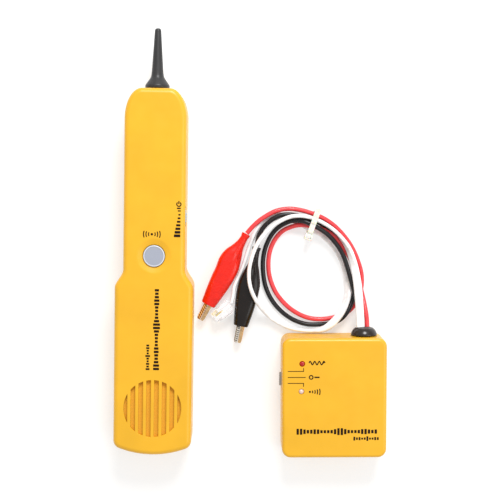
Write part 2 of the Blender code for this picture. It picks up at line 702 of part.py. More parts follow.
def sender_back_shell(frame):
    split = GROMMET_Z - GAP / 2
    outline = sender_outline()
    mesh = rounded_body("shell", outline, 0, split, round_low=SENDER_BACK_ROUND, steps=2)
    shell = add("sender_back_shell", mesh, YELLOW, frame)
    cut(shell, prism("cavity", inset(outline, WALL), WALL, split + 2))
    join(shell, *sender_screw_posts(WALL - 0.5, split, 3.0))
    cut(shell, *sender_screw_posts(-1, split + 1, 1.5))
    cut(shell, *sender_screw_posts(-1, 4.2, 2.7))
    cut(shell, grommet_hole(), switch_slot())
    cut(shell, block("door_way", (-1.3, -40, -1), (27.0, 20.3, DOOR_THICK + GAP)))
    return shell


def sender_battery_door(frame):
    low, high = -SENDER_HALF[1], 20.0
    outline = rectangle(-1.0, 26.7, low, high)
    rings = [at_height(inset(outline, 0.5), 0), at_height(outline, 0.7), at_height(outline, DOOR_THICK)]
    door = add("sender_battery_door", loft("door", rings), YELLOW, frame)
    for i in range(4):
        y = 4 + 3 * i
        cut(door, block("groove", (6.5, y, -1), (19.5, y + 1.3, 0.7)))
    return door


def cable_grommet(frame):
    """The rubber bush that the three leads leave through: a flange, a neck and an outer dome."""
    y = SENDER_HALF[1]
    profile = [
        (6.4, y - WALL - 2.4), (6.4, y - WALL - GAP), (5.0, y - WALL - GAP), (5.0, y + GAP),
        (GROMMET_R, y + GAP), (GROMMET_R, y + 1.2), (7.2, y + 2.8), (6.4, y + 4.0), (5.4, y + 4.8),
    ]
    mesh = turned("grommet", profile, (GROMMET_X, 0, GROMMET_Z), "y", 32)
    return add("cable_grommet", mesh, DARK, frame, (GROMMET_X, y, GROMMET_Z))


def sender_board(frame):
    mesh = prism("board", rounded_rectangle(-26.5, -2.5, -25.5, 25.5, 1.5, 2), 16.9, 18.5)
    return add("sender_board", mesh, BOARD, frame, (-14, 0, 17))


def oscillator_chip(frame):
    return add("oscillator_chip", block("chip", (-19, -19, 18.8), (-9, -12, 21.0)), CHIP, frame, (-14, -15, 19))


def led(name, frame, at, finish):
    x, y = at
    profile = [
        (1.9, 18.8), (1.9, 19.7), (LED_R, 19.7), (LED_R, 24.2), (1.3, 24.9), (0.8, 25.3), (0.0, 25.5),
    ]
    return add(name, turned("led", profile, (x, y, 0), segments=20), finish, frame, (x, y, 20))


def switch_body(frame):
    z = GROMMET_Z
    mesh = block("switch", (-27.5, SWITCH_Y - 8, z - 4), (-20, SWITCH_Y + 8, z + 4.1))
    body = add("switch_body", mesh, CHIP, frame, (-24, SWITCH_Y, z))
    cut(body, block("way", (-28, SWITCH_Y - 4.1, z - 1.4), (-24.2, SWITCH_Y + 4.1, z + 1.4)))
    return body


def switch_knob(frame):
    """The slide switch's knob, with its stem reaching into the switch."""
    long, high = KNOB_HALF
    z = GROMMET_Z
    mesh = block("knob", (-31.4, SWITCH_Y - long, z - high), (-27.9, SWITCH_Y + long, z + high))
    knob = add("switch_knob", mesh, GREY, frame, (-31.4, SWITCH_Y, z), 0)
    join(knob, block("stem", (-28.5, SWITCH_Y - 1.6, z - 1.0), (-24.6, SWITCH_Y + 1.6, z + 1.0)))
    for shift in (-2.2, 0.0, 2.2):
        cut(knob, block("grip", (-32, SWITCH_Y + shift - 0.35, z - 2), (-31.0, SWITCH_Y + shift + 0.35, z + 2)))
    return knob


def sender():
    frame = empty("sender_frame", SENDER_AT, 0.0)
    sender_back_shell(frame)
    sender_front_shell(frame)
    sender_battery_door(frame)
    cable_grommet(frame)
    sender_board(frame)
    oscillator_chip(frame)
    led("tone_led", frame, TONE_LED_AT, RED_LENS)
    led("continuity_led", frame, CONTINUITY_LED_AT, CLEAR_LENS)
    switch_body(frame)
    switch_knob(frame)
    battery("sender_battery", frame, SENDER_BATTERY_AT)
    battery_snap("sender_battery_snap", frame, SENDER_BATTERY_AT)
    screws("sender_screw", frame, SENDER_SCREWS, 21.0)


# Leads


def smooth_route(points, spacing):
    """Points about a spacing apart on a Catmull-Rom curve through a route's own points."""
    route = [Vector(p) for p in points]
    route = [2 * route[0] - route[1]] + route + [2 * route[-1] - route[-2]]
    fine = []
    for p0, p1, p2, p3 in zip(route, route[1:], route[2:], route[3:]):
        for i in range(16):
            t = i / 16
            fine.append(
                0.5 * (2 * p1 + (p2 - p0) * t + (2 * p0 - 5 * p1 + 4 * p2 - p3) * t * t
                       + (3 * p1 - p0 - 3 * p2 + p3) * t**3)
            )
    fine.append(route[-2])
    lengths = [0.0]
    for a, b in zip(fine, fine[1:]):
        lengths.append(lengths[-1] + (Vector(b[:3]) - Vector(a[:3])).length)
    count = round(lengths[-1] / spacing)
    out, k = [], 0
    for i in range(count + 1):
        want = lengths[-1] * i / count
        while k < len(lengths) - 2 and lengths[k + 1] < want:
            k += 1
        span = lengths[k + 1] - lengths[k]
        out.append(fine[k].lerp(fine[k + 1], min(1.0, (want - lengths[k]) / span)))
    return out


def wire(name, route, finish):
    """A round lead: a bevelled curve with filled ends."""
    data = bpy.data.curves.new(name, "CURVE")
    data.dimensions = "3D"
    data.bevel_depth = WIRE_DIAMETER / 2 * MM
    data.bevel_resolution = 2
    data.use_fill_caps = True
    line = data.splines.new("POLY")
    points = smooth_route(route, 5.4)
    line.points.add(len(points) - 1)
    for at, p in zip(line.points, points):
        at.co = (*(p * MM), 1.0)
    made = bpy.data.objects.new(name, data)
    bpy.context.scene.collection.objects.link(made)
    data.materials.append(material(finish))
    return made


def flat_section(steps=3):
    """The flat cable's cross-section, as (across, up) pairs."""
    side = (CABLE_WIDTH - CABLE_THICK) / 2
    right = arc((side, 0), CABLE_THICK / 2, -90, 90, steps)
    return right + [(-u, -v) for u, v in right]


def phone_cable():
    """The flat cable, swept along its route and turned about it by its tilt."""
    points = smooth_route(CABLE_ROUTE, 5.0)
    places = [Vector(p[:3]) for p in points]
    rings = []
    for i, place in enumerate(places):
        ahead, behind = places[min(i + 1, len(places) - 1)], places[max(i - 1, 0)]
        along = (ahead - behind).normalized()
        side = along.cross(Vector((0, 0, 1))).normalized()
        up = side.cross(along)
        tilt = math.radians(points[i][3])
        wide = side * math.cos(tilt) + up * math.sin(tilt)
        thin = up * math.cos(tilt) - side * math.sin(tilt)
        rings.append([place + wide * u + thin * v for u, v in flat_section()])
    return add("phone_cable", loft("phone_cable", rings), WHITE_RUBBER, None)


def cable_tie():
    """A nylon tie: a loop round the six strands, its head on the inside and its cut tail outside."""
    frame = empty("tie_frame", TIE_AT, TIE_TURN)

    def stand(outline):
        low, high = -TIE_HALF_WIDTH, TIE_HALF_WIDTH
        return [[(x, s, z) for s, z in outline] for x in (low, high)]

    outer = rounded_rectangle(-8.0, 6.7, 0.2, 12.1, 2.3)
    inner = rounded_rectangle(-7.0, 5.7, 1.2, 11.1, 1.3)
    tie = add("cable_tie", loft("tie", stand(outer)), NYLON, frame)
    hollow = [[(x * 2, s, z) for x, s, z in ring] for ring in stand(inner)]
    cut(tie, loft("hollow", hollow))
    join(tie, block("head", (-2.3, -11.2, 6.4), (2.3, -7.6, 11.2)))
    join(tie, block("tail", (-TIE_HALF_WIDTH, -1.0, 11.6), (TIE_HALF_WIDTH, 9.4, 12.6)))
    return tie


# Spring clips


def boot_ring(width, thick, y, steps=16):
    """A rounded-square ring round the clip's axis."""
    ring = []
    for i in range(steps):
        a = 2 * math.pi * (i + 0.5) / steps
        c, s = math.cos(a), math.sin(a)
        x = width * math.copysign(abs(c) ** 0.75, c)
        z = thick * math.copysign(abs(s) ** 0.75, s)
        ring.append((x, y, z))
    return ring


def clip_boot(prefix, frame, finish):
    outer = [boot_ring(w, t, -d) for d, w, t in BOOT_STATIONS]
    inner = [boot_ring(w - BOOT_WALL, t - BOOT_WALL, -d) for d, w, t in BOOT_STATIONS]
    return add(f"{prefix}_clip_boot", tube("boot", outer, inner), finish, frame)


def jaw_outline():
    """A jaw and its lever seen along the pin, on the +X side, with teeth near its tip."""
    tip, teeth = CLIP_LENGTH, 6
    points = [(0.5, -tip)]
    for i in range(teeth):
        y = -tip + 1.0 + 1.5 * i
        points += [(0.15, y), (0.7, y + 0.75)]
    points += [(0.9, -tip + 11), (1.4, -30.5), (1.6, PIN_Y - 2.9), (-2.0, PIN_Y - 1.6)]
    points += [(-2.4, PIN_Y), (-2.0, PIN_Y + 1.6), (1.8, PIN_Y + 2.9), (2.6, PIN_Y + 5)]
    points += [(3.6, PIN_Y + 5), (3.9, -27), (3.3, -34), (2.35, -46), (2.3, -tip + 1.5), (1.8, -tip)]
    return points


def mirrored(outline, side):
    """The outline on the +X side, or turned over to the -X side."""
    return outline if side > 0 else [(-x, y) for x, y in reversed(outline)]


def clip_jaw(name, prefix, frame, fixed):
    """One jaw. The fixed jaw's ears stand outside the moving jaw's ears on the pin.

    Behind the pin a narrower lever runs back inside the boot. The fixed jaw's one ends in the crimp.
    """
    side = -1 if fixed else 1
    mesh = prism("jaw", mirrored(jaw_outline(), side), -JAW_HALF, JAW_HALF)
    jaw = add(f"{prefix}_clip_{name}", mesh, BRASS, frame, (0, PIN_Y, 0), 0)
    low, high = PIN_Y - 3.8, PIN_Y + 3.8
    near, far = sorted((side * -3.2, side * 2.9))
    if fixed:
        cut(jaw, block("slot", (near, low, -1.9), (far, high, 1.9)))
        lever = [(2.6, -19.4), (1.6, -13.6), (0.4, -9.4), (-0.7, -9.0), (-0.7, -3.0), (0.7, -3.0)]
        lever += [(0.7, -8.8), (2.3, -13.6), (3.6, -19.4)]
        join(jaw, prism("lever", mirrored(lever, side), -LEVER_HALF, LEVER_HALF))
    else:
        for z0, z1 in ((1.6, 3.0), (-3.0, -1.6), (-0.95, 0.95)):
            cut(jaw, block("slot", (near, low, z0), (far, high, z1)))
        lever = [(2.6, -19.4), (2.0, -14.6), (2.7, -14.4), (3.6, -19.4)]
        join(jaw, prism("lever", mirrored(lever, side), -LEVER_HALF, LEVER_HALF))
    cut(jaw, cylinder("pin_hole", (0, PIN_Y, 0), 1.1, -4, 4, segments=16))
    return jaw


def clip_pin(prefix, frame):
    mesh = cylinder("pin", (0, PIN_Y, 0), 0.8, -3.0, 3.0, segments=16)
    return add(f"{prefix}_clip_pin", mesh, STEEL, frame, (0, PIN_Y, 0))


def clip_spring(prefix, frame):
    """A torsion spring: two and a half turns round the pin, with a leg along each lever."""
    data = bpy.data.curves.new(f"{prefix}_clip_spring", "CURVE")
    data.dimensions = "3D"
    data.bevel_depth = SPRING_WIRE / 2 * MM
    data.bevel_resolution = 1
    data.use_fill_caps = True
    radius, per_turn, turns = 1.45, 12, 2.5
    coil = []
    for i in range(int(per_turn * turns) + 1):
        a = 2 * math.pi * i / per_turn
        z = -0.6 + 1.2 * i / (per_turn * turns)
        coil.append((radius * math.cos(a), PIN_Y + radius * math.sin(a), z))
    points = [(1.9, PIN_Y + 7.0, -0.6), (1.5, PIN_Y + 2.0, -0.6)] + coil[1:]
    points += [(-1.5, PIN_Y + 2.0, 0.6), (-1.9, PIN_Y + 7.0, 0.6)]
    line = data.splines.new("POLY")
    line.points.add(len(points) - 1)
    for at, p in zip(line.points, points):
        at.co = (*(Vector(p) * MM), 1.0)
    made = bpy.data.objects.new(f"{prefix}_clip_spring", data)
    bpy.context.scene.collection.objects.link(made)
    made.parent = frame
    data.materials.append(material(STEEL))
    return made


def clip(prefix, at, turn, finish):
    frame = empty(f"{prefix}_clip_frame", at, turn)
    clip_boot(prefix, frame, finish)
    clip_jaw("fixed_jaw", prefix, frame, True)
    clip_jaw("moving_jaw", prefix, frame, False)
    clip_pin(prefix, frame)
    clip_spring(prefix, frame)


# Phone plug


def plug_body(frame):
    x, z = PLUG_HALF
    outline = [
        (-x, -PLUG_LENGTH + 0.6), (-x + 0.6, -PLUG_LENGTH), (x - 0.9, -PLUG_LENGTH),
        (x - 0.9, -PLUG_LENGTH + 3.0), (x, -PLUG_LENGTH + 3.8), (x, 0), (-x, 0),
    ]
    body = add("plug_body", prism("plug", outline, -z, z), CLEAR_PLASTIC, frame, (0, -6, 0), 0)
    for i in range(4):
        w = (i - 1.5) * CONTACT_PITCH
        cut(body, block("slot", (-x - 1, -PLUG_LENGTH - 1, w - 0.45), (-x + 2.4, -PLUG_LENGTH + 4.4, w + 0.45)))
    return body


def plug_contacts(frame):
    x = PLUG_HALF[0]
    for i in range(4):
        w = (i - 1.5) * CONTACT_PITCH
        low = (-x + 0.5, -PLUG_LENGTH + 0.4, w - 0.17)
        high = (-x + 2.1, -PLUG_LENGTH + 4.1, w + 0.17)
        add(f"plug_contact_{i + 1}", block("contact", low, high), BRASS, frame, (-x, -PLUG_LENGTH, w), 0)


def plug_latch(frame):
    """The plug's spring lever: it leans out from the nose and is pressed in to free the plug."""
    x = PLUG_HALF[0]
    root = -PLUG_LENGTH + 0.1
    outline = [
        (x - 0.6, root), (x + 0.3, root), (x + 0.7, root + 3.0), (x + 1.1, root + 3.9),
        (x + 1.6, root + 10.9), (x + 0.9, root + 11.1), (x + 0.6, root + 5.0),
        (x + 0.35, root + 3.4), (x - 0.6, root + 1.2),
    ]
    hinge = (x - 0.2, root + 0.5, 0)
    return add("plug_latch", prism("latch", outline, -3.1, 3.1), CLEAR_PLASTIC, frame, hinge, 0)


def plug():
    frame = empty("plug_frame", PLUG_AT, PLUG_TURN)
    plug_body(frame)
    plug_contacts(frame)
    plug_latch(frame)


def main():
    clear_scene()
    receiver()
    sender()
    wire("red_wire", RED_ROUTE, RED_RUBBER)
    wire("black_wire", BLACK_ROUTE, BLACK_RUBBER)
    phone_cable()
    cable_tie()
    clip("red", RED_CLIP_AT, RED_CLIP_TURN, RED_RUBBER)
    clip("black", BLACK_CLIP_AT, BLACK_CLIP_TURN, BLACK_RUBBER)
    plug()


main()
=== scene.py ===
import json
import math

import bmesh
import bpy
from mathutils import Matrix, Vector


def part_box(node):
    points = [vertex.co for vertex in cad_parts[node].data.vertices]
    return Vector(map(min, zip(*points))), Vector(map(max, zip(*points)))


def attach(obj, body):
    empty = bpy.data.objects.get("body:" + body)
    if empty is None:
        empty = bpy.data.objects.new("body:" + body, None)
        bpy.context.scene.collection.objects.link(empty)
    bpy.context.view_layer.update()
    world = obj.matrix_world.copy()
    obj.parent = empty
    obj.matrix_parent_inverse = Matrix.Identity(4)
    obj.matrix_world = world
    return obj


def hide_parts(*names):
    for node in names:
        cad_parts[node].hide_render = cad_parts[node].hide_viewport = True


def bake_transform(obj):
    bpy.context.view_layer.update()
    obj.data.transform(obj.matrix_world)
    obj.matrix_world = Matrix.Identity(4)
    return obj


# Lengths are in millimetres, in the frame of the receiver, the sender, a clip or the plug, and
# become metres as each piece is placed.

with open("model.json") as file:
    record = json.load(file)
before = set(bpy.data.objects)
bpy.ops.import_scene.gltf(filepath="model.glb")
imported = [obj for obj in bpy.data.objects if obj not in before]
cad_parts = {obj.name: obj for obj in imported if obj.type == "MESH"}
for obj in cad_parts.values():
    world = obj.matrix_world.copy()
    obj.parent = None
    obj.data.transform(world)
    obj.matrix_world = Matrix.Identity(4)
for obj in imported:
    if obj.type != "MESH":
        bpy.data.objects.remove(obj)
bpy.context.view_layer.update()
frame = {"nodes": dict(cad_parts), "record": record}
RECORD = frame["record"]
NODES = frame["nodes"]
JOINTS = {joint["name"]: joint for joint in RECORD["behaviour"]["joints"]}
MOUNTS = {mount["name"]: mount for mount in RECORD["mounts"]}
MM = 0.001
WHITE = (1.0, 1.0, 1.0, 1.0)


def in_mm(point):
    return Vector(point) / MM


def frame_at(origin, turn):
    """A frame's matrix: an origin in millimetres, turned about Z in degrees."""
    return Matrix.Translation(Vector(origin)) @ Matrix.Rotation(math.radians(turn), 4, "Z")


# Receiver frame: y runs up its middle from the bottom end, z up from its back.
DOOR_AXIS = JOINTS["receiver_door_slide"]["axis"]
RECEIVER_TURN = math.degrees(math.atan2(-DOOR_AXIS[0], -DOOR_AXIS[1])) * -1
BACK_MOUNT_Y = 90.0
RECEIVER = frame_at(in_mm(MOUNTS["receiver_back"]["pos_m"]), RECEIVER_TURN)
RECEIVER = RECEIVER @ Matrix.Translation((0.0, -BACK_MOUNT_Y, 0.0))
RECEIVER_HEIGHT = in_mm(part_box("receiver_front_shell")[1]).z
RECEIVER_SPLIT = (in_mm(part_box("receiver_front_shell")[0]).z, in_mm(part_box("receiver_back_shell")[1]).z)
LOWER_HALF = 22.2
UPPER_HALF = 17.5
STEP_LOW = 95.3
STEP_HIGH = 106.2
BODY_TOP = 208.4
SHOULDER = (9.7, 17.0)
BOTTOM_RADIUS = 54.0
BOTTOM_CORNER = 5.0
FRONT_ROUND = 3.0
BACK_ROUND = 1.2
WALL = 2.0
GAP = 0.3
DOOR_THICK = 2.0
BUTTON_Y = 114.1
BUTTON_R = 6.05
WHEEL_AT = (7.4, 136.6)
WHEEL_R = 11.0
WHEEL_Z = (in_mm(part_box("volume_wheel")[0]).z, in_mm(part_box("volume_wheel")[1]).z)
SPEAKER_Y = 27.0
GRILLE_R = 16.4
SLOT_WIDTH = 2.6
SLOT_PITCH = 4.44
SLOTS = 8
PROBE_Z = 14.5
TIP_END = 242.8
RECEIVER_SCREWS = ((-16.2, 71.5), (16.2, 71.5), (-10.8, 187.0), (10.8, 187.0))

# Sender frame: x and y from its middle, z up from its back.
SENDER_BOX = [in_mm(corner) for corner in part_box("sender_front_shell")]
SENDER_MIDDLE = (SENDER_BOX[0] + SENDER_BOX[1]) / 2
SENDER = frame_at((SENDER_MIDDLE.x, SENDER_MIDDLE.y, 0.0), 0.0)
SENDER_HALF = (SENDER_BOX[1] - SENDER_BOX[0]) / 2
SENDER_HEIGHT = SENDER_BOX[1].z
SENDER_SPLIT = (SENDER_BOX[0].z, in_mm(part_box("sender_back_shell")[1]).z)
SENDER_CORNER = 5.0
SENDER_FRONT_ROUND = 2.0
SWITCH_Y = 9.4
KNOB_HALF = (3.75, 1.5)
KNOB_TRAVEL = 2.0
TONE_LED_AT = (-18.65, 20.05)
CONTINUITY_LED_AT = (-19.05, 4.05)
LED_R = 1.5
GROMMET_X = 17.9
GROMMET_Z = 12.5
GROMMET_R = 7.6
SENDER_SCREWS = ((-24.4, -29.2), (-24.4, 29.2), (24.8, 23.8), (-4.2, -29.2))

# Clips: origin at the boot's wire end, -Y towards the jaws, the hinge pin along Z.
PIN_Y = -24.0
RED_CLIP_TURN = -28.4
BLACK_CLIP_TURN = -11.5
CLIP_LENGTH = 57.0


def clip_frame(joint, turn):
    return frame_at(in_mm(JOINTS[joint]["pos_m"]), turn) @ Matrix.Translation((0.0, -PIN_Y, 0.0))


RED_CLIP = clip_frame("red_clip_open", RED_CLIP_TURN)
BLACK_CLIP = clip_frame("black_clip_open", BLACK_CLIP_TURN)

# Plug: origin at its rear, -Y towards its nose, lying on a narrow side.
PLUG_TURN = -50.0
PLUG_HALF = (3.3, 4.83)
PLUG_LENGTH = 12.3
LATCH_ROOT = 0.6
CONTACT_PITCH = 1.27
CORE_PITCH = 1.02
PLUG = frame_at(in_mm(JOINTS["plug_latch_flex"]["pos_m"]), PLUG_TURN)
PLUG = PLUG @ Matrix.Translation((-PLUG_HALF[0], PLUG_LENGTH - LATCH_ROOT, 0.0))

# Leads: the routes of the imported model.
WIRE_DIAMETER = 2.7
CABLE_WIDTH = 4.8
CABLE_THICK = 2.2
RED_ROUTE = (
    (68, -48.4, 12.5), (67.8, -43.5, 12.2), (67.2, -38.5, 10.6), (66.3, -33, 8), (65, -27, 5.9),
    (63.6, -21.5, 5), (61.4, -15.2, 4.8), (58.4, -8.7, 4.7), (54.4, -2.7, 4.5), (49.5, 3.2, 4.6),
    (43.5, 7.2, 4.9), (36.2, 9.8, 6.1), (29.5, 10.4, 5), (23.7, 9, 2.6), (18.6, 6.2, 1.6),
    (14.2, 0.8, 1.5), (11.6, -6, 1.5), (10.9, -14, 1.5), (12, -21.5, 1.5), (15.2, -29.3, 1.5),
    (20.4, -36, 1.5), (26.6, -41, 1.5), (34, -44.4, 1.5), (42, -45.4, 1.5), (50.2, -44.2, 1.5),
    (56.3, -42, 1.5), (61, -38, 1.5), (64.2, -32.2, 1.5), (65.8, -25.5, 1.5), (65.7, -18.5, 1.5),
    (63.8, -11.5, 1.5), (60.6, -4, 1.5), (56, 3, 1.5), (49.8, 9.6, 1.6), (43.5, 14, 2.3), (37, 16.8, 3),
    (30.2, 18.9, 3.2), (22.5, 19.8, 3.6), (14.5, 18.3, 4.2), (6.6, 13.8, 4.7), (1.6, 9.4, 4.8),
    (-1.8, 5.5, 4.8),
)
BLACK_ROUTE = (
    (64.6, -48.4, 10.6), (64.3, -43.5, 10.3), (63.4, -38.5, 9.3), (62, -32, 8.1), (60.2, -26, 7.5),
    (58.6, -20.5, 7.3), (56.6, -13.5, 7.3), (54, -6.5, 7.3), (50, -0.2, 7.4), (44.5, 5.6, 7.7),
    (37.3, 10.1, 9.1), (31, 12.7, 8.1), (24.7, 12.8, 5.1), (18, 9.8, 2.3), (13.2, 5.2, 1.6),
    (9.7, -1.5, 1.5), (7.9, -9, 1.5), (7.8, -17.2, 1.5), (9.3, -26, 1.5), (13.1, -34.2, 1.5),
    (18.7, -40.8, 1.5), (25.5, -45.6, 1.5), (33.3, -48.3, 1.5), (41, -48.5, 1.6), (47.8, -47.7, 2.7),
    (53, -45.3, 4.6), (57, -41, 4.9), (59.8, -35.5, 3.2), (61.4, -29.5, 1.9), (62, -23, 1.6),
    (61.4, -16, 1.5), (59.2, -8.8, 1.5), (55.8, -2.2, 1.5), (51, 3.8, 1.5), (45.2, 8.9, 1.8),
    (38, 12.7, 2.9), (32.2, 14.7, 3.9), (26, 16.2, 4.5), (18.5, 16.2, 4.7), (12, 12.8, 4.8),
    (7.5, 8.4, 4.9), (4.9, 2.8, 4.9), (4.1, -2.2, 4.9),
)
# The flat cable's fourth value is its tilt in degrees: 0 lies flat, 90 stands on edge.
CABLE_ROUTE = (
    (64, -48.4, 14, 0), (63.8, -43.5, 13.8, 0), (63.6, -38.5, 13, 0), (63.2, -32, 11.9, 0),
    (62.7, -25.5, 10.7, 5), (61.7, -18.5, 9.7, 20), (59.9, -10.5, 9.1, 40), (56.9, -2.4, 8.3, 65),
    (51.6, 5, 7.2, 90), (45, 10.3, 7, 90), (37.6, 14, 8.2, 90), (30.9, 15.8, 9, 90),
    (24.2, 15.6, 9.2, 90), (17.5, 13, 9.4, 90), (11.7, 8.9, 9.9, 90), (6.6, 3.4, 11, 90),
    (2.8, -3, 12, 90), (0.4, -10.2, 12.4, 90), (-0.7, -17.8, 12.5, 90), (0.2, -25.3, 12.5, 90),
    (3, -32.2, 11.6, 90), (6.6, -38, 7.8, 90), (11, -43, 4, 90), (15.6, -46.6, 2.8, 90),
    (21.8, -49.7, 2.7, 90), (29.2, -51.5, 2.7, 90), (37, -51.7, 3.4, 80), (43.6, -50.5, 5.4, 60),
    (48.7, -46.7, 6.5, 40), (53.1, -41.3, 6.6, 45), (56.4, -35, 5.6, 60), (57.9, -28, 3.8, 50),
    (57.5, -20.6, 2.1, 15), (55.6, -12.8, 1.6, 0), (52.2, -5.3, 1.5, 0), (47, 1.3, 1.5, 0),
    (41.5, 5.9, 1.7, 0), (35, 9.1, 2.8, 0), (28.6, 12.4, 1.7, 0), (21.8, 14.9, 1.4, 0),
    (14.6, 15.1, 1.5, 0), (8.4, 11.5, 2, 20), (3.5, 5.6, 2.9, 60), (0.2, -1, 3, 90),
    (-2.2, -8.4, 3.2, 90), (-4.4, -14.9, 3.5, 90), (-6.2, -19, 3.8, 90), (-7.8, -22.4, 4.1, 90),
    (-9.2, -26, 4.5, 90), (-9.8, -30.6, 4.9, 90), (-10.9, -35.3, 5.1, 90),
)


# Mesh builders, in millimetres


def loft(rings, closed=False):
    """A mesh over rings of points, where one point may stand for a ring. Its two ends are filled, or
    a closed one runs on from its last ring to its first."""
    bm = bmesh.new()
    loops = [[bm.verts.new(p) for p in ring] for ring in rings]
    for low, high in zip(loops, loops[1:] + (loops[:1] if closed else [])):
        count = max(len(low), len(high))
        for i in range(count):
            j = (i + 1) % count
            corners = (low[i % len(low)], low[j % len(low)], high[j % len(high)], high[i % len(high)])
            bm.faces.new(tuple(dict.fromkeys(corners)))
    for ring in () if closed else (loops[0], loops[-1]):
        if len(ring) > 1:
            bm.faces.new(ring)
    bmesh.ops.recalc_face_normals(bm, faces=bm.faces)
    mesh = bpy.data.meshes.new("loft")
    bm.to_mesh(mesh)
    bm.free()
    return mesh


def sleeve(outer, inner):
    """An open-ended tube: outer and inner rings, joined round both ends."""
    return loft(list(outer) + list(reversed(inner)), closed=True)


def at_height(outline, z):
    return [(x, y, z) for x, y in outline]


def prism(outline, low, high):
    return loft([at_height(outline, low), at_height(outline, high)])


def block(low, high):
    outline = [(low[0], low[1]), (high[0], low[1]), (high[0], high[1]), (low[0], high[1])]
    return prism(outline, low[2], high[2])


def arc(centre, radius, start, end, steps):
    points = []
    for i in range(steps + 1):
        a = math.radians(start + (end - start) * i / steps)
        points.append((centre[0] + radius * math.cos(a), centre[1] + radius * math.sin(a)))
    return points


def rounded_rectangle(x0, x1, y0, y1, radius, steps=6):
    corners = (
        ((x1 - radius, y0 + radius), -90),
        ((x1 - radius, y1 - radius), 0),
        ((x0 + radius, y1 - radius), 90),
        ((x0 + radius, y0 + radius), 180),
    )
    return [p for centre, a in corners for p in arc(centre, radius, a, a + 90, steps)]


def inset(outline, distance):
    count = len(outline)
    out = []
    for i in range(count):
        before, after = Vector(outline[i - 1]), Vector(outline[(i + 1) % count])
        along = (after - before).normalized()
        out.append((outline[i][0] - along.y * distance, outline[i][1] + along.x * distance))
    return out


def round_circle(count):
    """Unit directions, evenly round a circle."""
    angles = [2 * math.pi * i / count for i in range(count)]
    return [(math.cos(a), math.sin(a)) for a in angles]


def turned(profile, centre, along="z", segments=64, closed=False):
    """A solid of revolution from (radius, height) pairs. A radius of 0 closes an end at a point, and a
    closed profile makes a ring."""
    cx, cy, cz = centre
    rings = []
    for radius, height in profile:
        ring = [(radius * u, radius * v) for u, v in round_circle(segments if radius or closed else 1)]
        if along == "z":
            rings.append([(cx + u, cy + v, cz + height) for u, v in ring])
        else:
            rings.append([(cx + u, cy + height, cz - v) for u, v in ring])
    return loft(rings, closed)


def lifted(profile, height):
    return [(radius, height + rise) for radius, rise in profile]


def cylinder(centre, radius, low, high, along="z", segments=48):
    return turned([(radius, low), (radius, high)], centre, along, segments)


def merged(meshes):
    """Several meshes as one."""
    bm = bmesh.new()
    for mesh in meshes:
        bm.from_mesh(mesh)
    out = bpy.data.meshes.new("merged")
    bm.to_mesh(out)
    bm.free()
    return out


def direction(line, i):
    """Which way a line of points runs at one of them."""
    return (line[min(i + 1, len(line) - 1)] - line[max(i - 1, 0)]).normalized()


def smooth_path(points, spacing):
    """Points about a spacing apart on a Catmull-Rom curve through a path's own points."""
    path = [Vector(p) for p in points]
    path = [2 * path[0] - path[1]] + path + [2 * path[-1] - path[-2]]
    fine, steps = [], 16
    for p0, p1, p2, p3 in zip(path, path[1:], path[2:], path[3:]):
        for t in [i / steps for i in range(steps)]:
            fine.append(
                0.5 * (2 * p1 + (p2 - p0) * t + (2 * p0 - 5 * p1 + 4 * p2 - p3) * t * t
                       + (3 * p1 - p0 - 3 * p2 + p3) * t**3)
            )
    fine.append(path[-2])
    lengths = [0.0]
    for a, b in zip(fine, fine[1:]):
        lengths.append(lengths[-1] + (Vector(b[:3]) - Vector(a[:3])).length)
    count = round(lengths[-1] / spacing)
    out, k = [], 0
    for i in range(count + 1):
        want = lengths[-1] * i / count
        while k < len(lengths) - 2 and lengths[k + 1] < want:
            k += 1
        span = lengths[k + 1] - lengths[k]
        out.append(fine[k].lerp(fine[k + 1], min(1.0, (want - lengths[k]) / span)))
    return out


# Pieces


def linked(name, data):
    """A new object in the scene."""
    made = bpy.data.objects.new(name, data)
    bpy.context.scene.collection.objects.link(made)
    return made


def modified(mesh, kind, **settings):
    """The mesh as a modifier leaves it."""
    body = linked("body", mesh)
    step = body.modifiers.new("step", kind)
    for key, value in settings.items():
        setattr(step, key, value)
    bpy.context.view_layer.update()
    graph = bpy.context.evaluated_depsgraph_get()
    out = bpy.data.meshes.new_from_object(body.evaluated_get(graph))
    bpy.data.objects.remove(body, do_unlink=True)
    return out


def carve(mesh, *tools, operation="DIFFERENCE"):
    """The mesh with each tool cut away from it, or joined to it."""
    for tool in tools:
        cutter = linked("cutter", tool)
        mesh = modified(mesh, "BOOLEAN", operation=operation, object=cutter, solver="EXACT")
        bpy.data.objects.remove(cutter, do_unlink=True)
    return mesh


def softened(mesh, width, segments=3):
    """The mesh with its sharp edges rounded."""
    return modified(mesh, "BEVEL", width=width, segments=segments, limit_method="ANGLE",
                    angle_limit=math.radians(30.0))


def piece(name, mesh, where, finish, body, replaces=(), sharp=32.0, weighted=False):
    """Places a mesh as a piece of the object, riding on a body."""
    mesh.transform(Matrix.Scale(MM, 4) @ where)
    mesh.name = name
    made = linked(name, mesh)
    mesh.materials.clear()
    mesh.materials.append(finish)
    mesh.shade_smooth()
    mesh.set_sharp_from_angle(angle=math.radians(sharp))
    if weighted:
        step = made.modifiers.new("normals", "WEIGHTED_NORMAL")
        step.keep_sharp = True
    if body:
        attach(made, body)
    if replaces:
        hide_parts(*replaces)
    return made


# Materials


def fill(node, **sockets):
    """Sets a shader node's sockets by name, with an underscore for each space."""
    for socket, value in sockets.items():
        node.inputs[socket.replace("_", " ")].default_value = value
    return node


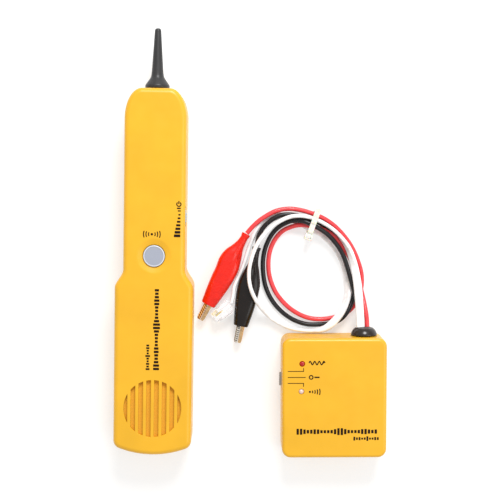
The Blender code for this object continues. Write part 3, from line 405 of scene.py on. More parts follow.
class Finish:
    """A procedural material: a Principled shader fed by textures in the object's own space."""

    def __init__(self, name, roughness, metallic=0.0, **sockets):
        self.material = bpy.data.materials.new(name)
        self.material.use_nodes = True
        self.tree = self.material.node_tree
        self.shader = self.tree.nodes["Principled BSDF"]
        fill(self.shader, Roughness=roughness, Metallic=metallic, **sockets)
        self.place = self.node("TexCoord").outputs["Object"]
        self.relief = None

    def node(self, kind, settings=(), **sockets):
        made = self.tree.nodes.new("ShaderNode" + kind)
        for key, value in settings:
            setattr(made, key, value)
        return fill(made, **sockets)

    def link(self, source, target):
        self.tree.links.new(source, target)

    def textured(self, made, place, output):
        self.link(place or self.place, made.inputs["Vector"])
        return made.outputs[output]

    def stretched(self, x, y, z, turn=0.0):
        """The object's coordinates, scaled per axis, for a directional texture."""
        made = self.node("Mapping", Scale=(x, y, z), Rotation=(0.0, 0.0, math.radians(turn)))
        return self.textured(made, None, "Vector")

    def noise(self, size_mm, detail=2.0, place=None):
        made = self.node("TexNoise", Scale=1000.0 / size_mm, Detail=detail)
        return self.textured(made, place, "Fac")

    def cells(self, size_mm):
        return self.textured(self.node("TexVoronoi", Scale=1000.0 / size_mm), None, "Distance")

    def bands(self, size_mm, direction, distortion, place=None):
        made = self.node("TexWave", [("bands_direction", direction)], Scale=1000.0 / size_mm / 3.0,
                         Distortion=distortion, Detail_Scale=2.0)
        return self.textured(made, place, "Fac")

    def ramp(self, value, *stops):
        made = self.node("ValToRGB")
        ramp = made.color_ramp
        while len(ramp.elements) < len(stops):
            ramp.elements.new(0.5)
        for element, (position, colour) in zip(ramp.elements, stops):
            element.position = position
            element.color = (*colour, 1.0)
        self.link(value, made.inputs["Fac"])
        return made.outputs["Color"]

    def colour(self, value, *stops):
        self.link(self.ramp(value, *stops), self.shader.inputs["Base Color"])

    def gloss(self, value, low, high):
        made = self.node("MapRange", From_Min=0.3, From_Max=0.7, To_Min=low, To_Max=high)
        self.link(value, made.inputs["Value"])
        self.link(made.outputs["Result"], self.shader.inputs["Roughness"])

    def bump(self, value, depth_mm, strength=1.0):
        made = self.node("Bump", Distance=depth_mm * MM, Strength=strength)
        self.link(value, made.inputs["Height"])
        if self.relief:
            self.link(self.relief, made.inputs["Normal"])
        self.relief = made.outputs["Normal"]
        self.link(self.relief, self.shader.inputs["Normal"])


def shaded(colour, factor):
    return tuple(min(1.0, c * factor) for c in colour)


def plastic(name, colour, roughness, grain_mm=0.35, grain=0.012, variation=0.05, **constants):
    """Moulded plastic: a spark-eroded grain, slow shifts of tone and uneven gloss."""
    made = Finish(name, roughness, **constants)
    slow = made.noise(24.0, 3.0)
    made.colour(slow, (0.3, shaded(colour, 1 - variation)), (0.7, shaded(colour, 1 + variation)))
    made.gloss(made.noise(6.0, 4.0), roughness - 0.05, roughness + 0.05)
    made.bump(made.noise(grain_mm, 3.0), grain)
    made.bump(slow, 0.05, 0.3)
    return made.material


def rubber(name, colour, roughness, **constants):
    """Soft PVC: waxy mottling, fine pores and faint drag lines."""
    made = Finish(name, roughness, **constants)
    mottle = made.noise(3.5, 4.0)
    made.colour(mottle, (0.35, shaded(colour, 0.9)), (0.65, shaded(colour, 1.08)))
    made.gloss(made.noise(1.6, 3.0), roughness - 0.06, roughness + 0.08)
    made.bump(made.noise(0.5, 2.0), 0.01)
    made.bump(made.noise(5.0, 1.0), 0.06, 0.4)
    return made.material


def metal(name, colour, roughness, turn=0.0, **constants):
    """Stamped or drawn metal with fine drawing lines and slight tarnish."""
    made = Finish(name, roughness, 1.0, **constants)
    tarnish = made.noise(2.2, 4.0)
    made.colour(tarnish, (0.3, shaded(colour, 0.72)), (0.62, colour), (0.8, shaded(colour, 1.15)))
    lines = made.noise(0.6, 2.0, made.stretched(6.0, 0.5, 6.0, turn))
    made.gloss(lines, roughness - 0.08, roughness + 0.12)
    made.bump(lines, 0.012, 0.6)
    return made.material


def toothed_metal(name, dark, light, turn):
    """The serrated side of a clip's jaw: slanting pressed ridges on plated metal, with painted shade in the
    grooves and a painted highlight on the crests.
    """
    made = Finish(name, 0.32, 1.0)
    ridges = made.bands(1.25, "Y", 0.4, made.stretched(1.0, 1.0, 1.0, turn))
    # The colour follows the ridges: the dark colour is painted shade in the grooves, the light colour is
    # the plating, and the brightened top stop is a painted highlight on the crests.
    made.colour(ridges, (0.25, dark), (0.6, light), (0.9, shaded(light, 1.2)))
    made.bump(ridges, 0.22, 0.8)
    made.bump(made.noise(0.5, 2.0), 0.01)
    return made.material


def printed_ink():
    made = Finish("printed_ink", 0.6, Specular_IOR_Level=0.15)
    speckle = made.noise(0.3, 3.0)
    made.colour(speckle, (0.3, (0.010, 0.002, 0.001)), (0.75, (0.022, 0.006, 0.002)))
    made.bump(speckle, 0.004, 0.4)
    return made.material


def circuit_board():
    """Green solder mask over copper runs, with tinned pads."""
    made = Finish("circuit_board", 0.38)
    runs = made.bands(2.4, "X", 5.0)
    mask = (0.006, 0.10, 0.035)
    green = made.ramp(runs, (0.42, mask), (0.5, (0.012, 0.19, 0.07)), (0.6, mask))
    tin = made.ramp(made.cells(3.1), (0.10, (0.65, 0.64, 0.60)), (0.14, (0.0, 0.0, 0.0)))
    mix = made.node("Mix", [("data_type", "RGBA"), ("blend_type", "LIGHTEN")])
    mix.inputs[0].default_value = 1.0
    made.link(green, mix.inputs[6])
    made.link(tin, mix.inputs[7])
    made.link(mix.outputs[2], made.shader.inputs["Base Color"])
    made.bump(runs, 0.03)
    return made.material


def speaker_cloth():
    """Dyed cloth: two sets of threads crossing."""
    made = Finish("speaker_cloth", 0.9, Sheen_Weight=0.3)
    both = made.node("Math", [("operation", "MULTIPLY")])
    for side, direction in enumerate("XY"):
        made.link(made.bands(0.9, direction, 0.3), both.inputs[side])
    weave = both.outputs[0]
    made.colour(weave, (0.0, (0.76, 0.37, 0.022)), (0.6, (0.86, 0.45, 0.032)))
    made.bump(weave, 0.06)
    return made.material


def battery_wrap():
    """A dark battery can with brass showing through its scuffs."""
    made = Finish("battery_wrap", 0.34, 0.55)
    scuffs = made.noise(1.1, 5.0, made.stretched(1.0, 5.0, 1.0))
    made.colour(scuffs, (0.3, (0.030, 0.034, 0.042)), (0.62, (0.055, 0.06, 0.07)), (0.8, (0.5, 0.33, 0.12)))
    made.gloss(scuffs, 0.25, 0.5)
    made.bump(scuffs, 0.01)
    return made.material


def nylon():
    """Natural nylon: cloudy, waxy and lit from inside."""
    made = Finish("nylon", 0.38, Subsurface_Weight=0.35, Subsurface_Scale=0.002)
    cloud = made.noise(2.5, 3.0)
    made.colour(cloud, (0.3, (0.78, 0.74, 0.64)), (0.7, (0.90, 0.88, 0.80)))
    made.bump(made.noise(0.35, 2.0), 0.01)
    return made.material


def clear_plastic(name, colour, roughness, weight):
    """Clear polycarbonate with flow lines, a little haze and a faint white glow that is painted light."""
    # The white emission is painted light: the plastic glows faintly though nothing inside it is lit.
    made = Finish(name, roughness, Transmission_Weight=weight, IOR=1.38, Emission_Color=WHITE,
                  Emission_Strength=0.1)
    flow = made.noise(1.8, 3.0, made.stretched(1.0, 0.4, 1.0))
    made.colour(flow, (0.35, shaded(colour, 0.93)), (0.7, colour))
    made.gloss(flow, roughness, roughness + 0.08)
    made.bump(flow, 0.03, 0.5)
    return made.material


def lens(name, colour, glow, weight):
    """A tinted lamp lens that glows faintly."""
    made = Finish(name, 0.12, Transmission_Weight=weight, IOR=1.5, Emission_Color=(*glow, 1.0),
                  Emission_Strength=0.12)
    depth = made.noise(0.8, 2.0)
    made.colour(depth, (0.3, shaded(colour, 0.75)), (0.7, colour))
    made.bump(depth, 0.01)
    return made.material


YELLOW = plastic("yellow_abs", (0.775, 0.405, 0.010), 0.36, grain=0.014, Coat_Weight=0.06,
                 Coat_Roughness=0.3)
GRILLE_OCHRE = speaker_cloth()
DARK = plastic("dark_plastic", (0.030, 0.030, 0.031), 0.38, grain=0.02, variation=0.15,
               Specular_IOR_Level=0.35)
DARK_RUBBER = rubber("dark_rubber", (0.018, 0.013, 0.010), 0.28, Specular_IOR_Level=0.3, Coat_Weight=0.3)
BUTTON_GREY = plastic("button_grey", (0.325, 0.345, 0.41), 0.48, grain_mm=0.5, grain=0.03)
RIM_GREY = plastic("pale_rim", (0.60, 0.62, 0.68), 0.35)
WHEEL_GREY = plastic("wheel_grey", (0.40, 0.47, 0.52), 0.4)
KNOB_GREY = plastic("knob_grey", (0.33, 0.33, 0.33), 0.4)
INK = printed_ink()
BOARD = circuit_board()
CHIP = plastic("chip_black", (0.018, 0.018, 0.02), 0.42, grain_mm=0.2, grain=0.01, variation=0.2)
STEEL = metal("zinc_steel", (0.58, 0.58, 0.6), 0.3)
BRASS = metal("brass_plate", (0.80, 0.53, 0.27), 0.26)
GOLD = metal("gold_contact", (0.95, 0.68, 0.28), 0.2)
# Each toothed finish's first colour is painted shade in the grooves; its second is the plating, brightened
# on the crests as a painted highlight.
RED_TEETH = toothed_metal("red_clip_teeth", (0.32, 0.15, 0.05), (0.66, 0.36, 0.12), 62.0)
BLACK_TEETH = toothed_metal("black_clip_teeth", (0.10, 0.09, 0.08), (0.46, 0.42, 0.36), 20.0)
PAPER = plastic("cone_paper", (0.03, 0.03, 0.03), 0.85, grain_mm=0.9, grain=0.12, variation=0.25)
FERRITE = plastic("ferrite", (0.05, 0.045, 0.045), 0.6, grain_mm=0.6, grain=0.08, variation=0.2)
CAN = battery_wrap()
RED_RUBBER = rubber("red_pvc", (0.74, 0.012, 0.003), 0.26, Specular_IOR_Level=0.25, Coat_Weight=0.35,
                    Coat_Roughness=0.12)
RED_JACKET = rubber("red_jacket", (0.76, 0.045, 0.052), 0.34, Coat_Weight=0.1)
BLACK_RUBBER = rubber("black_pvc", (0.008, 0.005, 0.004), 0.25, Specular_IOR_Level=0.22, Coat_Weight=0.25,
                      Coat_Roughness=0.1)
BLACK_JACKET = rubber("black_jacket", (0.012, 0.011, 0.012), 0.3, Specular_IOR_Level=0.35)
WHITE_JACKET = rubber("white_jacket", (0.88, 0.88, 0.88), 0.36)
NYLON = nylon()
# Both clear finishes carry a faint white glow of painted light.
CLEAR = clear_plastic("clear_polycarbonate", (1.0, 1.0, 1.0), 0.02, 0.9)
FROSTED = clear_plastic("frosted_polycarbonate", (0.98, 0.98, 0.98), 0.25, 0.4)
RED_LENS = lens("red_lens", (0.55, 0.02, 0.015), (0.7, 0.02, 0.01), 0.3)
PINK_LENS = lens("clear_lens", (0.80, 0.60, 0.50), (0.7, 0.4, 0.28), 0.1)


# Camera, then the leads


def camera():
    """A long lens 0.7 m above the table, looking down on the front faces."""
    data = bpy.data.cameras.new("camera")
    data.lens = 85.5
    data.sensor_width = 36.0
    data.clip_start = 0.01
    made = linked("camera", data)
    made.location = (-0.00923, 0.04417, 0.697)
    made.rotation_euler = (math.radians(-4.0), math.radians(-0.77), 0.0)
    bpy.context.scene.camera = made


def wire(name, route, finish, node):
    """A round lead: a bevelled curve on a smooth line through its route."""
    data = bpy.data.curves.new(name, "CURVE")
    data.dimensions = "3D"
    data.bevel_depth = WIRE_DIAMETER / 2 * MM
    data.bevel_resolution = 7
    data.use_fill_caps = True
    points = smooth_path(route, 1.2)
    line = data.splines.new("POLY")
    line.points.add(len(points) - 1)
    for at, p in zip(line.points, points):
        at.co = (*(p * MM), 1.0)
    line.use_smooth = True
    data.materials.append(finish)
    made = linked(name, data)
    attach(made, "sender_body")
    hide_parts(node)
    return made


def flat_section():
    """The flat cable's outline: rounded edges and a shallow waist between its pairs."""
    half, side, waist = CABLE_THICK / 2, (CABLE_WIDTH - CABLE_THICK) / 2, 0.05
    outline = arc((side, 0), half, -90, 90, 8)
    for t in [k / 6 for k in range(1, 6)]:
        outline.append((side * (1 - 2 * t), half - waist * math.sin(math.pi * t)))
    return outline + [(-u, -v) for u, v in outline]


def flat_cable():
    """The phone cable, tilted along its way so that it lies on an edge where the strands are bunched."""
    points = smooth_path(CABLE_ROUTE, 1.5)
    places = [Vector(p[:3]) for p in points]
    rings = []
    for i, place in enumerate(places):
        along = direction(places, i)
        side = along.cross(Vector((0, 0, 1))).normalized()
        up = side.cross(along)
        tilt = math.radians(points[i][3])
        wide = side * math.cos(tilt) + up * math.sin(tilt)
        thin = up * math.cos(tilt) - side * math.sin(tilt)
        rings.append([place + wide * u + thin * v for u, v in flat_section()])
    made = piece("phone_cable_jacket", loft(rings), Matrix.Identity(4), WHITE_JACKET,
                 "sender_body", ["phone_cable"])
    return made, places


# Receiver


def receiver_outline():
    """The receiver seen from the front, anticlockwise from the middle of its bottom end."""
    corner_x = LOWER_HALF - BOTTOM_CORNER
    corner_y = BOTTOM_RADIUS - math.sqrt((BOTTOM_RADIUS - BOTTOM_CORNER) ** 2 - corner_x**2)
    meet = math.degrees(math.atan2(corner_y - BOTTOM_RADIUS, corner_x))
    right = arc((0, BOTTOM_RADIUS), BOTTOM_RADIUS, -90, meet, 12)[:-1]
    right += arc((corner_x, corner_y), BOTTOM_CORNER, meet, 0, 10)
    for t in [i / 18 for i in range(19)]:
        ease = (1 - math.cos(math.pi * t)) / 2
        x = LOWER_HALF + (UPPER_HALF - LOWER_HALF) * ease
        right.append((x, STEP_LOW + (STEP_HIGH - STEP_LOW) * t))
    rx, ry = SHOULDER
    for a in [math.radians(90 * i / 20) for i in range(21)]:
        right.append((UPPER_HALF - rx + rx * math.cos(a), BODY_TOP - ry + ry * math.sin(a)))
    return right + [(-x, y) for x, y in reversed(right[1:])]


CHAMFER = ((0.18, 0.0), (0.0, 0.18))


def quarter_round(radius, steps=8):
    """How far in and how far up each ring of a rounded rim lies, from the face to the full outline."""
    angles = [math.pi / 2 * i / steps for i in range(steps + 1)]
    return [(radius * (1 - math.sin(a)), radius * (1 - math.cos(a))) for a in angles]


def rim(outline, edge, face, inward):
    return [at_height(inset(outline, shift), face + inward * rise) for shift, rise in edge]


def rounded_body(outline, low, high, low_edge=CHAMFER, high_edge=CHAMFER):
    """A prism with a rounded or finely chamfered rim at each end."""
    return loft(rim(outline, low_edge, low, 1) + rim(outline, high_edge, high, -1)[::-1])


def housing(name, mesh, where, body, node):
    return piece(name, mesh, where, YELLOW, body, [node], weighted=True)


def slot_outline(x, grow):
    """One sound slot's outline, clipped by the speaker's circle and grown by a margin."""
    radius = GRILLE_R + grow
    left = max(x - SLOT_WIDTH / 2 - grow, -radius + 0.02)
    right = min(x + SLOT_WIDTH / 2 + grow, radius - 0.02)
    xs = [left + (right - left) * i / 10 for i in range(11)]
    half = [(u, math.sqrt(radius**2 - u * u)) for u in xs]
    return [(u, SPEAKER_Y - v) for u, v in half] + [(u, SPEAKER_Y + v) for u, v in reversed(half)]


def grille_slot(x):
    """A cutter for one slot, flared at the face so that the slot's edge is rounded."""
    top, flare = RECEIVER_HEIGHT, 0.2
    rings = [at_height(slot_outline(x, 0.0), top - 4)]
    rings += [at_height(slot_outline(x, grow), top - depth) for depth, grow in quarter_round(flare, 4)]
    return loft(rings + [at_height(slot_outline(x, flare), top + 1)])


def dish():
    """The button's conical dish, with a soft lip at the face."""
    hole = BUTTON_R + GAP
    lip = [(hole, -1.05), (hole + 0.12, -0.93), (9.2, -0.16), (9.8, -0.05), (10.6, 0.02), (10.6, 1)]
    return turned([(hole, 20.0)] + lifted(lip, RECEIVER_HEIGHT), (0, BUTTON_Y, 0), segments=96)


def probe_hole():
    return cylinder((0, 0, PROBE_Z), 5.2, BODY_TOP - 4, BODY_TOP + 1, "y")


def receiver_front():
    split, top = RECEIVER_SPLIT[0], RECEIVER_HEIGHT
    outline = receiver_outline()
    mesh = rounded_body(outline, split, top, high_edge=quarter_round(FRONT_ROUND))
    cavity = rounded_body(inset(outline, WALL), split - 2, top - WALL, high_edge=quarter_round(1.0, 3))
    slots = merged([grille_slot((i - (SLOTS - 1) / 2) * SLOT_PITCH) for i in range(SLOTS)])
    wheel_slot = cylinder((*WHEEL_AT, 0), WHEEL_R + 0.5, WHEEL_Z[0] - GAP, WHEEL_Z[1] + GAP, segments=96)
    mesh = carve(mesh, cavity, dish(), slots, wheel_slot, probe_hole())
    return housing("receiver_front", mesh, RECEIVER, "receiver_body", "receiver_front_shell")


def screw_bores(places, high):
    bore = [(2.75, -1.0), (2.75, 0.0), (2.6, 0.15), (2.6, 4.2), (1.5, 4.2), (1.5, high)]
    return merged([turned(bore, (x, y, 0), segments=32) for x, y in places])


def back_half(outline, split, screws, post_radius, *cutters):
    """A back shell with its walls, screw posts and bores, cut through by its other openings."""
    mesh = rounded_body(outline, 0, split, low_edge=quarter_round(BACK_ROUND))
    mesh = carve(mesh, prism(inset(outline, WALL), WALL, split + 2))
    posts = merged([cylinder((x, y, 0), post_radius, WALL - 0.5, split) for x, y in screws])
    mesh = carve(mesh, posts, operation="UNION")
    return carve(mesh, screw_bores(screws, split + 1), *cutters)


def receiver_back():
    """The back half, with the battery door's way and a shallow blank label panel."""
    door_way = prism(rounded_rectangle(-16, 16, -5, 62, 1.0, 4), -1, 2.3)
    label = prism(rounded_rectangle(-11, 11, 84, 128, 2.0), -1, 0.25)
    mesh = back_half(receiver_outline(), RECEIVER_SPLIT[1], RECEIVER_SCREWS, 3.4, probe_hole(), door_way,
                     label)
    return housing("receiver_back", mesh, RECEIVER, "receiver_body", "receiver_back_shell")


def grip(half, y):
    """A curved finger groove across a battery door."""
    line = [(half * k, y - 1.6 * (1 - k**2)) for k in [i / 6 - 1 for i in range(13)]]
    return prism(line + [(x, v + 1.2) for x, v in reversed(line)], -1, 0.6)


def door_plate(outline, edge):
    return loft(rim(outline, quarter_round(edge, 4), 0, 1) + [at_height(outline, DOOR_THICK)])


def receiver_door():
    half, top, corner = 15.7, 61.7, 0.8
    xs = [half * (i / 8 - 1) for i in range(17)]
    outline = [(x, BOTTOM_RADIUS - math.sqrt(BOTTOM_RADIUS**2 - x * x)) for x in xs]
    outline += arc((half - corner, top - corner), corner, 0, 90, 4)
    outline += arc((corner - half, top - corner), corner, 90, 180, 4)
    grips = merged([grip(7.0, 45 + 3.0 * i) for i in range(5)])
    arrow = prism([(-2.6, 38.6), (2.6, 38.6), (0, 34.6)], -1, 0.35)
    mesh = carve(door_plate(outline, 0.6), grips, arrow)
    return housing("receiver_door", mesh, RECEIVER, "receiver_door_body", "receiver_battery_door")


def tip():
    """The probe: a flange, a soft flare and a slim cone with a rounded end."""
    flare = [(4.9, -4.0), (4.9, GAP), (6.5, GAP), (6.85, 0.5), (6.95, 0.9), (6.95, 1.9), (6.85, 2.3),
             (6.6, 2.7), (4.75, 5.3), (4.2, 6.1), (3.8, 6.9), (3.55, 7.8), (3.4, 9.0), (3.2, 11.0)]
    end = [(1.85, -1.6), (1.7, -0.8), (1.3, -0.25), (0.7, -0.04), (0.0, 0.0)]
    mesh = turned(lifted(flare, BODY_TOP) + lifted(end, TIP_END), (0, 0, PROBE_Z), "y")
    return piece("tip", mesh, RECEIVER, DARK, "receiver_body", ["probe_tip"], sharp=50)


def button():
    """The test button: a slightly crowned cap with a groove for its rim."""
    r, edge = BUTTON_R, 0.55
    stem = [(2.0, 19.6), (2.0, 24.4), (7.3, 24.4), (7.3, 26.2), (r, 26.2)]
    crown = [(r, -0.35)] + [(r - shift, 0.2 - drop) for drop, shift in quarter_round(edge, 6)[1:]]
    crown += [(r - 0.75, 0.16), (r - 0.85, 0.06), (r - 1.1, 0.06), (3.5, 0.16), (1.5, 0.21), (0.0, 0.22)]
    cap = turned(stem + lifted(crown, RECEIVER_HEIGHT), (0, BUTTON_Y, 0), segments=96)
    return piece("button_cap", cap, RECEIVER, BUTTON_GREY, "test_button_body",
                 ["test_button"])


def button_rim():
    """The button's paler ring, a rounded section that stands just proud of the cap."""
    section = [(-0.62, 0.19), (-0.4, 0.24), (-0.12, 0.12), (0.02, -0.2), (-0.06, -0.3), (-0.2, -0.1),
               (-0.62, 0.1)]
    section = [(BUTTON_R + shift, RECEIVER_HEIGHT + rise) for shift, rise in section]
    mesh = turned(section, (0, BUTTON_Y, 0), segments=96, closed=True)
    return piece("button_rim", mesh, RECEIVER, RIM_GREY, "test_button_body")


def wheel():
    """The knurled thumbwheel: rounded ribs round its rim and a chamfer on both faces."""
    ribs, per_rib = 44, 8
    low, high = WHEEL_Z

    def knurled(radius, depth):
        points = []
        for a in [2 * math.pi * i / (ribs * per_rib) for i in range(ribs * per_rib)]:
            r = radius - depth + depth * (0.5 + 0.5 * math.cos(a * ribs)) ** 0.6
            points.append((WHEEL_AT[0] + r * math.cos(a), WHEEL_AT[1] + r * math.sin(a)))
        return points

    face, full = knurled(WHEEL_R - 0.6, 0.1), knurled(WHEEL_R, 0.55)
    levels = ((face, low), (full, low + 0.5), (full, high - 0.5), (face, high))
    mesh = loft([at_height(outline, z) for outline, z in levels])
    mesh = carve(mesh, cylinder((*WHEEL_AT, 0), 1.6, low - 1, high + 1))
    return piece("thumbwheel", mesh, RECEIVER, WHEEL_GREY, "volume_wheel_body",
                 ["volume_wheel"], 40)


# Marks: thin printed shapes, sunk a little way into a face and standing a little way off it

MARK = (-0.02, 0.03)


def bar(x0, y0, x1, y1, z):
    radius = min(x1 - x0, y1 - y0) * 0.18
    return prism(rounded_rectangle(x0, x1, y0, y1, radius, 3), z + MARK[0], z + MARK[1])


def stroke(points, width, z):
    """A line of even width through points, lying on a face."""
    line = [Vector(p) for p in points]
    left, right = [], []
    for i, p in enumerate(line):
        along = direction(line, i)
        side = Vector((-along.y, along.x)) * width / 2
        left.append(tuple(p + side))
        right.append(tuple(p - side))
    return prism(right + left[::-1], z + MARK[0], z + MARK[1])


def dot(centre, radius, z):
    return ring_mark(centre, radius / 2, radius, z)


def ring_mark(centre, radius, width, z):
    near, far = radius - width / 2, radius + width / 2
    section = [(near, MARK[0]), (far, MARK[0]), (far, MARK[1]), (near, MARK[1])]
    return turned(section, (*centre, z), segments=32, closed=True)


def arc_mark(centre, radius, width, z, start, end):
    return stroke(arc(centre, radius, start, end, 12), width, z)


def waveform(x0, x1, y, height, pitch, z, upright=False):
    """A row of rounded bars whose heights rise and fall like a sound wave."""
    bars = []
    count = int((x1 - x0) / pitch)
    for i in range(count):
        t = i / max(1, count - 1)
        rise = 0.35 + 0.65 * abs(math.sin(7.3 * t + 0.8)) * (0.6 + 0.4 * math.cos(23.0 * t))
        half = height * max(0.42, min(1.0, rise)) / 2
        a = x0 + pitch * i
        b = a + pitch * 0.7
        bars.append(bar(y - half, a, y + half, b, z) if upright else bar(a, y - half, b, y + half, z))
    return bars


def receiver_marks():
    """Level bars and an off sign by the wheel, a sensing sign over the button, and two plain bands."""
    z = RECEIVER_HEIGHT
    marks = []
    for i in range(7):
        width, half, y = 1.2 + 0.4 * i, 0.45 + 0.055 * i, 137.6 - 1.98 * i
        marks.append(bar(14.7 - width, y - half, 14.7, y + half, z))
    marks += [
        arc_mark((13.7, 143.5), 1.2, 0.65, z, -235, 55),
        stroke([(13.7, 143.6), (13.7, 145.4)], 0.65, z),
        bar(12.6, 140.8, 14.8, 141.6, z),
        bar(13.1, 139.4, 14.8, 140.1, z),
    ]
    centre = (-1.3, 126.4)
    marks.append(dot(centre, 0.7, z))
    for radius in (1.9, 3.3, 4.7):
        spread = 38 - 3 * radius
        marks += [arc_mark(centre, radius, 0.6, z, side - spread, side + spread) for side in (0, 180)]
    marks += waveform(49.2, 96.0, 1.9, 4.1, 1.95, z, upright=True)
    marks += waveform(49.2, 65.4, -2.9, 2.7, 1.5, z, upright=True)
    return piece("receiver_marks", merged(marks), RECEIVER, INK, "receiver_body")


def sender_marks():
    """Bracket lines from the switch to the lamps, three function signs and two plain bands."""
    z = SENDER_HEIGHT
    left, bend, width = -26.9, -17.85, 0.62
    lines = (
        ((left, 15.75), (bend - 0.2, 15.75)),
        ((bend, 15.55), (bend, 17.6)),
        ((left, 12.25), (-16.65, 12.25)),
        ((left, 8.85), (bend - 0.2, 8.85)),
        ((bend, 9.05), (bend, 6.9)),
    )
    marks = [stroke(line, 0.42, z) for line in lines]
    wave = [(-14.8 + 9.2 * t, 20.55 + math.sin(7 * math.pi * t)) for t in [k / 60 for k in range(61)]]
    marks.append(stroke(wave, width, z))
    marks += [ring_mark((-13.5, 12.3), 1.05, width, z), bar(-11.7, 11.9, -8.7, 12.7, z)]
    centre = (-14.2, 3.9)
    marks.append(dot(centre, 0.6, z))
    for radius in (1.6, 3.0, 4.4, 5.8):
        spread = 14 + 22 / radius
        marks.append(arc_mark(centre, radius, width, z, -spread, spread))
    marks += waveform(-21.8, 26.3, -19.2, 4.2, 1.95, z)
    marks += waveform(10.9, 26.3, -23.3, 2.7, 1.5, z)
    return piece("sender_marks", merged(marks), SENDER, INK, "sender_body")


# Sender


def sender_outline():
    x, y = SENDER_HALF.x, SENDER_HALF.y
    return rounded_rectangle(-x, x, -y, y, SENDER_CORNER, 12)


def grommet_hole():
    y = SENDER_HALF.y
    return cylinder((GROMMET_X, 0, GROMMET_Z), 5.3, y - 4, y + 1, "y")


def switch_slot():
    long, high = KNOB_HALF[0] + KNOB_TRAVEL + GAP, KNOB_HALF[1] + GAP
    x = -SENDER_HALF.x
    return block((x - 1, SWITCH_Y - long, GROMMET_Z - high), (x + 3, SWITCH_Y + long, GROMMET_Z + high))


def sender_front():
    split, top = SENDER_SPLIT[0], SENDER_HEIGHT
    outline = sender_outline()
    mesh = rounded_body(outline, split, top, high_edge=quarter_round(SENDER_FRONT_ROUND))
    near = LED_R + 0.12
    hole = [(near, top - 4), (near, top - 0.15), (near + 0.15, top), (near + 0.15, top + 1)]
    holes = merged([turned(hole, (x, y, 0), segments=40) for x, y in (TONE_LED_AT, CONTINUITY_LED_AT)])
    cavity = prism(inset(outline, WALL), split - 2, top - WALL)
    mesh = carve(mesh, cavity, grommet_hole(), switch_slot(), holes)
    return housing("sender_front", mesh, SENDER, "sender_body", "sender_front_shell")


def sender_back():
    door_way = block((-1.3, -40, -1), (27.0, 20.3, 2.3))
    label = prism(rounded_rectangle(-24, -5, -20, 20, 1.5), -1, 0.25)
    mesh = back_half(sender_outline(), SENDER_SPLIT[1], SENDER_SCREWS, 3.0, grommet_hole(), switch_slot(),
                     door_way, label)
    return housing("sender_back", mesh, SENDER, "sender_body", "sender_back_shell")


def sender_door():
    left, right = -1.0, 26.7
    grips = merged([grip(6.5, 5 + 3.0 * i) for i in range(4)])
    grips.transform(Matrix.Translation(((left + right) / 2, 0, 0)))
    mesh = carve(door_plate(rounded_rectangle(left, right, -SENDER_HALF.y, 20.0, 0.6, 3), 0.5), grips)
    return housing("sender_door", mesh, SENDER, "sender_door_body", "sender_battery_door")


def grommet():
    """The rubber bush: a thin flange and a low dome with a dished end where the leads come out."""
    profile = [(4.9, -3.0), (4.9, GAP), (7.3, GAP), (7.55, 0.5), (GROMMET_R, 0.9), (7.5, 1.4), (7.2, 2.1),
               (6.8, 2.9), (6.3, 3.6), (5.7, 4.2), (5.1, 4.65), (4.6, 4.8), (4.1, 4.65), (3.4, 4.2),
               (0.0, 4.0)]
    mesh = turned(lifted(profile, SENDER_HALF.y), (GROMMET_X, 0, GROMMET_Z), "y", 72)
    return piece("grommet", mesh, SENDER, DARK_RUBBER, "sender_body", ["cable_grommet"], 50)


def led_lens(name, at, finish, node):
    """A lamp's lens: a flange behind the face and a dome through it."""
    crown, dome = SENDER_HEIGHT - 0.9, 1.4
    profile = [(1.9, 18.8), (1.9, 19.7), (LED_R, 19.7), (LED_R, crown)]
    for a in [math.pi / 16 * i for i in range(1, 8)]:
        profile.append((LED_R * math.cos(a), crown + dome * math.sin(a)))
    mesh = turned(profile + [(0.0, crown + dome)], (*at, 0), segments=40)
    return piece(name, mesh, SENDER, finish, "sender_body", [node], 50)


def slide_knob():
    """The slide switch's knob, with grooves across its thumb face."""
    long, high = KNOB_HALF
    y, z = SWITCH_Y, GROMMET_Z
    mesh = softened(block((-31.4, y - long, z - high), (-27.9, y + long, z + high)), 0.3)
    middles = [y + 1.2 * i for i in range(-2, 3)]
    grooves = [block((-32, v - 0.3, z - 2), (-31.1, v + 0.3, z + 2)) for v in middles]
    mesh = carve(mesh, merged(grooves))
    mesh = carve(mesh, block((-28.5, y - 1.6, z - 1), (-24.6, y + 1.6, z + 1)), operation="UNION")
    return piece("slide_knob", mesh, SENDER, KNOB_GREY, "switch_knob_body", ["switch_knob"])


# Cable tie

TIE_TURN = -19.5
TIE_AT = (37.0, 12.4, 0.0)


def cable_tie():
    """A nylon tie: a grooved strap round the strands, a slotted head and a ridged cut tail."""
    half = 1.6
    outer = rounded_rectangle(-8.0, 6.7, 0.2, 12.1, 2.3, 8)
    inner = rounded_rectangle(-7.0, 5.7, 1.2, 11.1, 1.3, 8)
    groove = [(-half, 0.3), (-half + 0.3, 0.0), (-0.9, 0.0), (-0.7, 0.22)]
    groove += [(-x, depth) for x, depth in reversed(groove)]
    outside = [[(x, s, z) for s, z in inset(outer, depth)] for x, depth in groove]
    inside = [[(x, s, z) for s, z in inner] for x in (-half, half)]
    head = softened(block((-2.3, -11.2, 6.4), (2.3, -7.2, 11.2)), 0.45)
    head = carve(head, block((-1.5, -10.2, 5), (1.5, -8.9, 13)))
    tail = [(-1.0, 11.55), (8.6, 11.55), (9.4, 11.9), (9.4, 12.3), (8.6, 12.6), (-1.0, 12.6)]
    tail = loft([[(x, s, z) for s, z in tail] for x in (-half, half)])
    teeth = merged([block((-1.1, -0.4 + 0.8 * i, 12.45), (1.1, -0.05 + 0.8 * i, 13)) for i in range(11)])
    mesh = merged([sleeve(outside, inside), head, carve(softened(tail, 0.12, 2), teeth)])
    where = frame_at(TIE_AT, TIE_TURN)
    return piece("tie", mesh, where, NYLON, "sender_body", ["cable_tie"])


# Clips

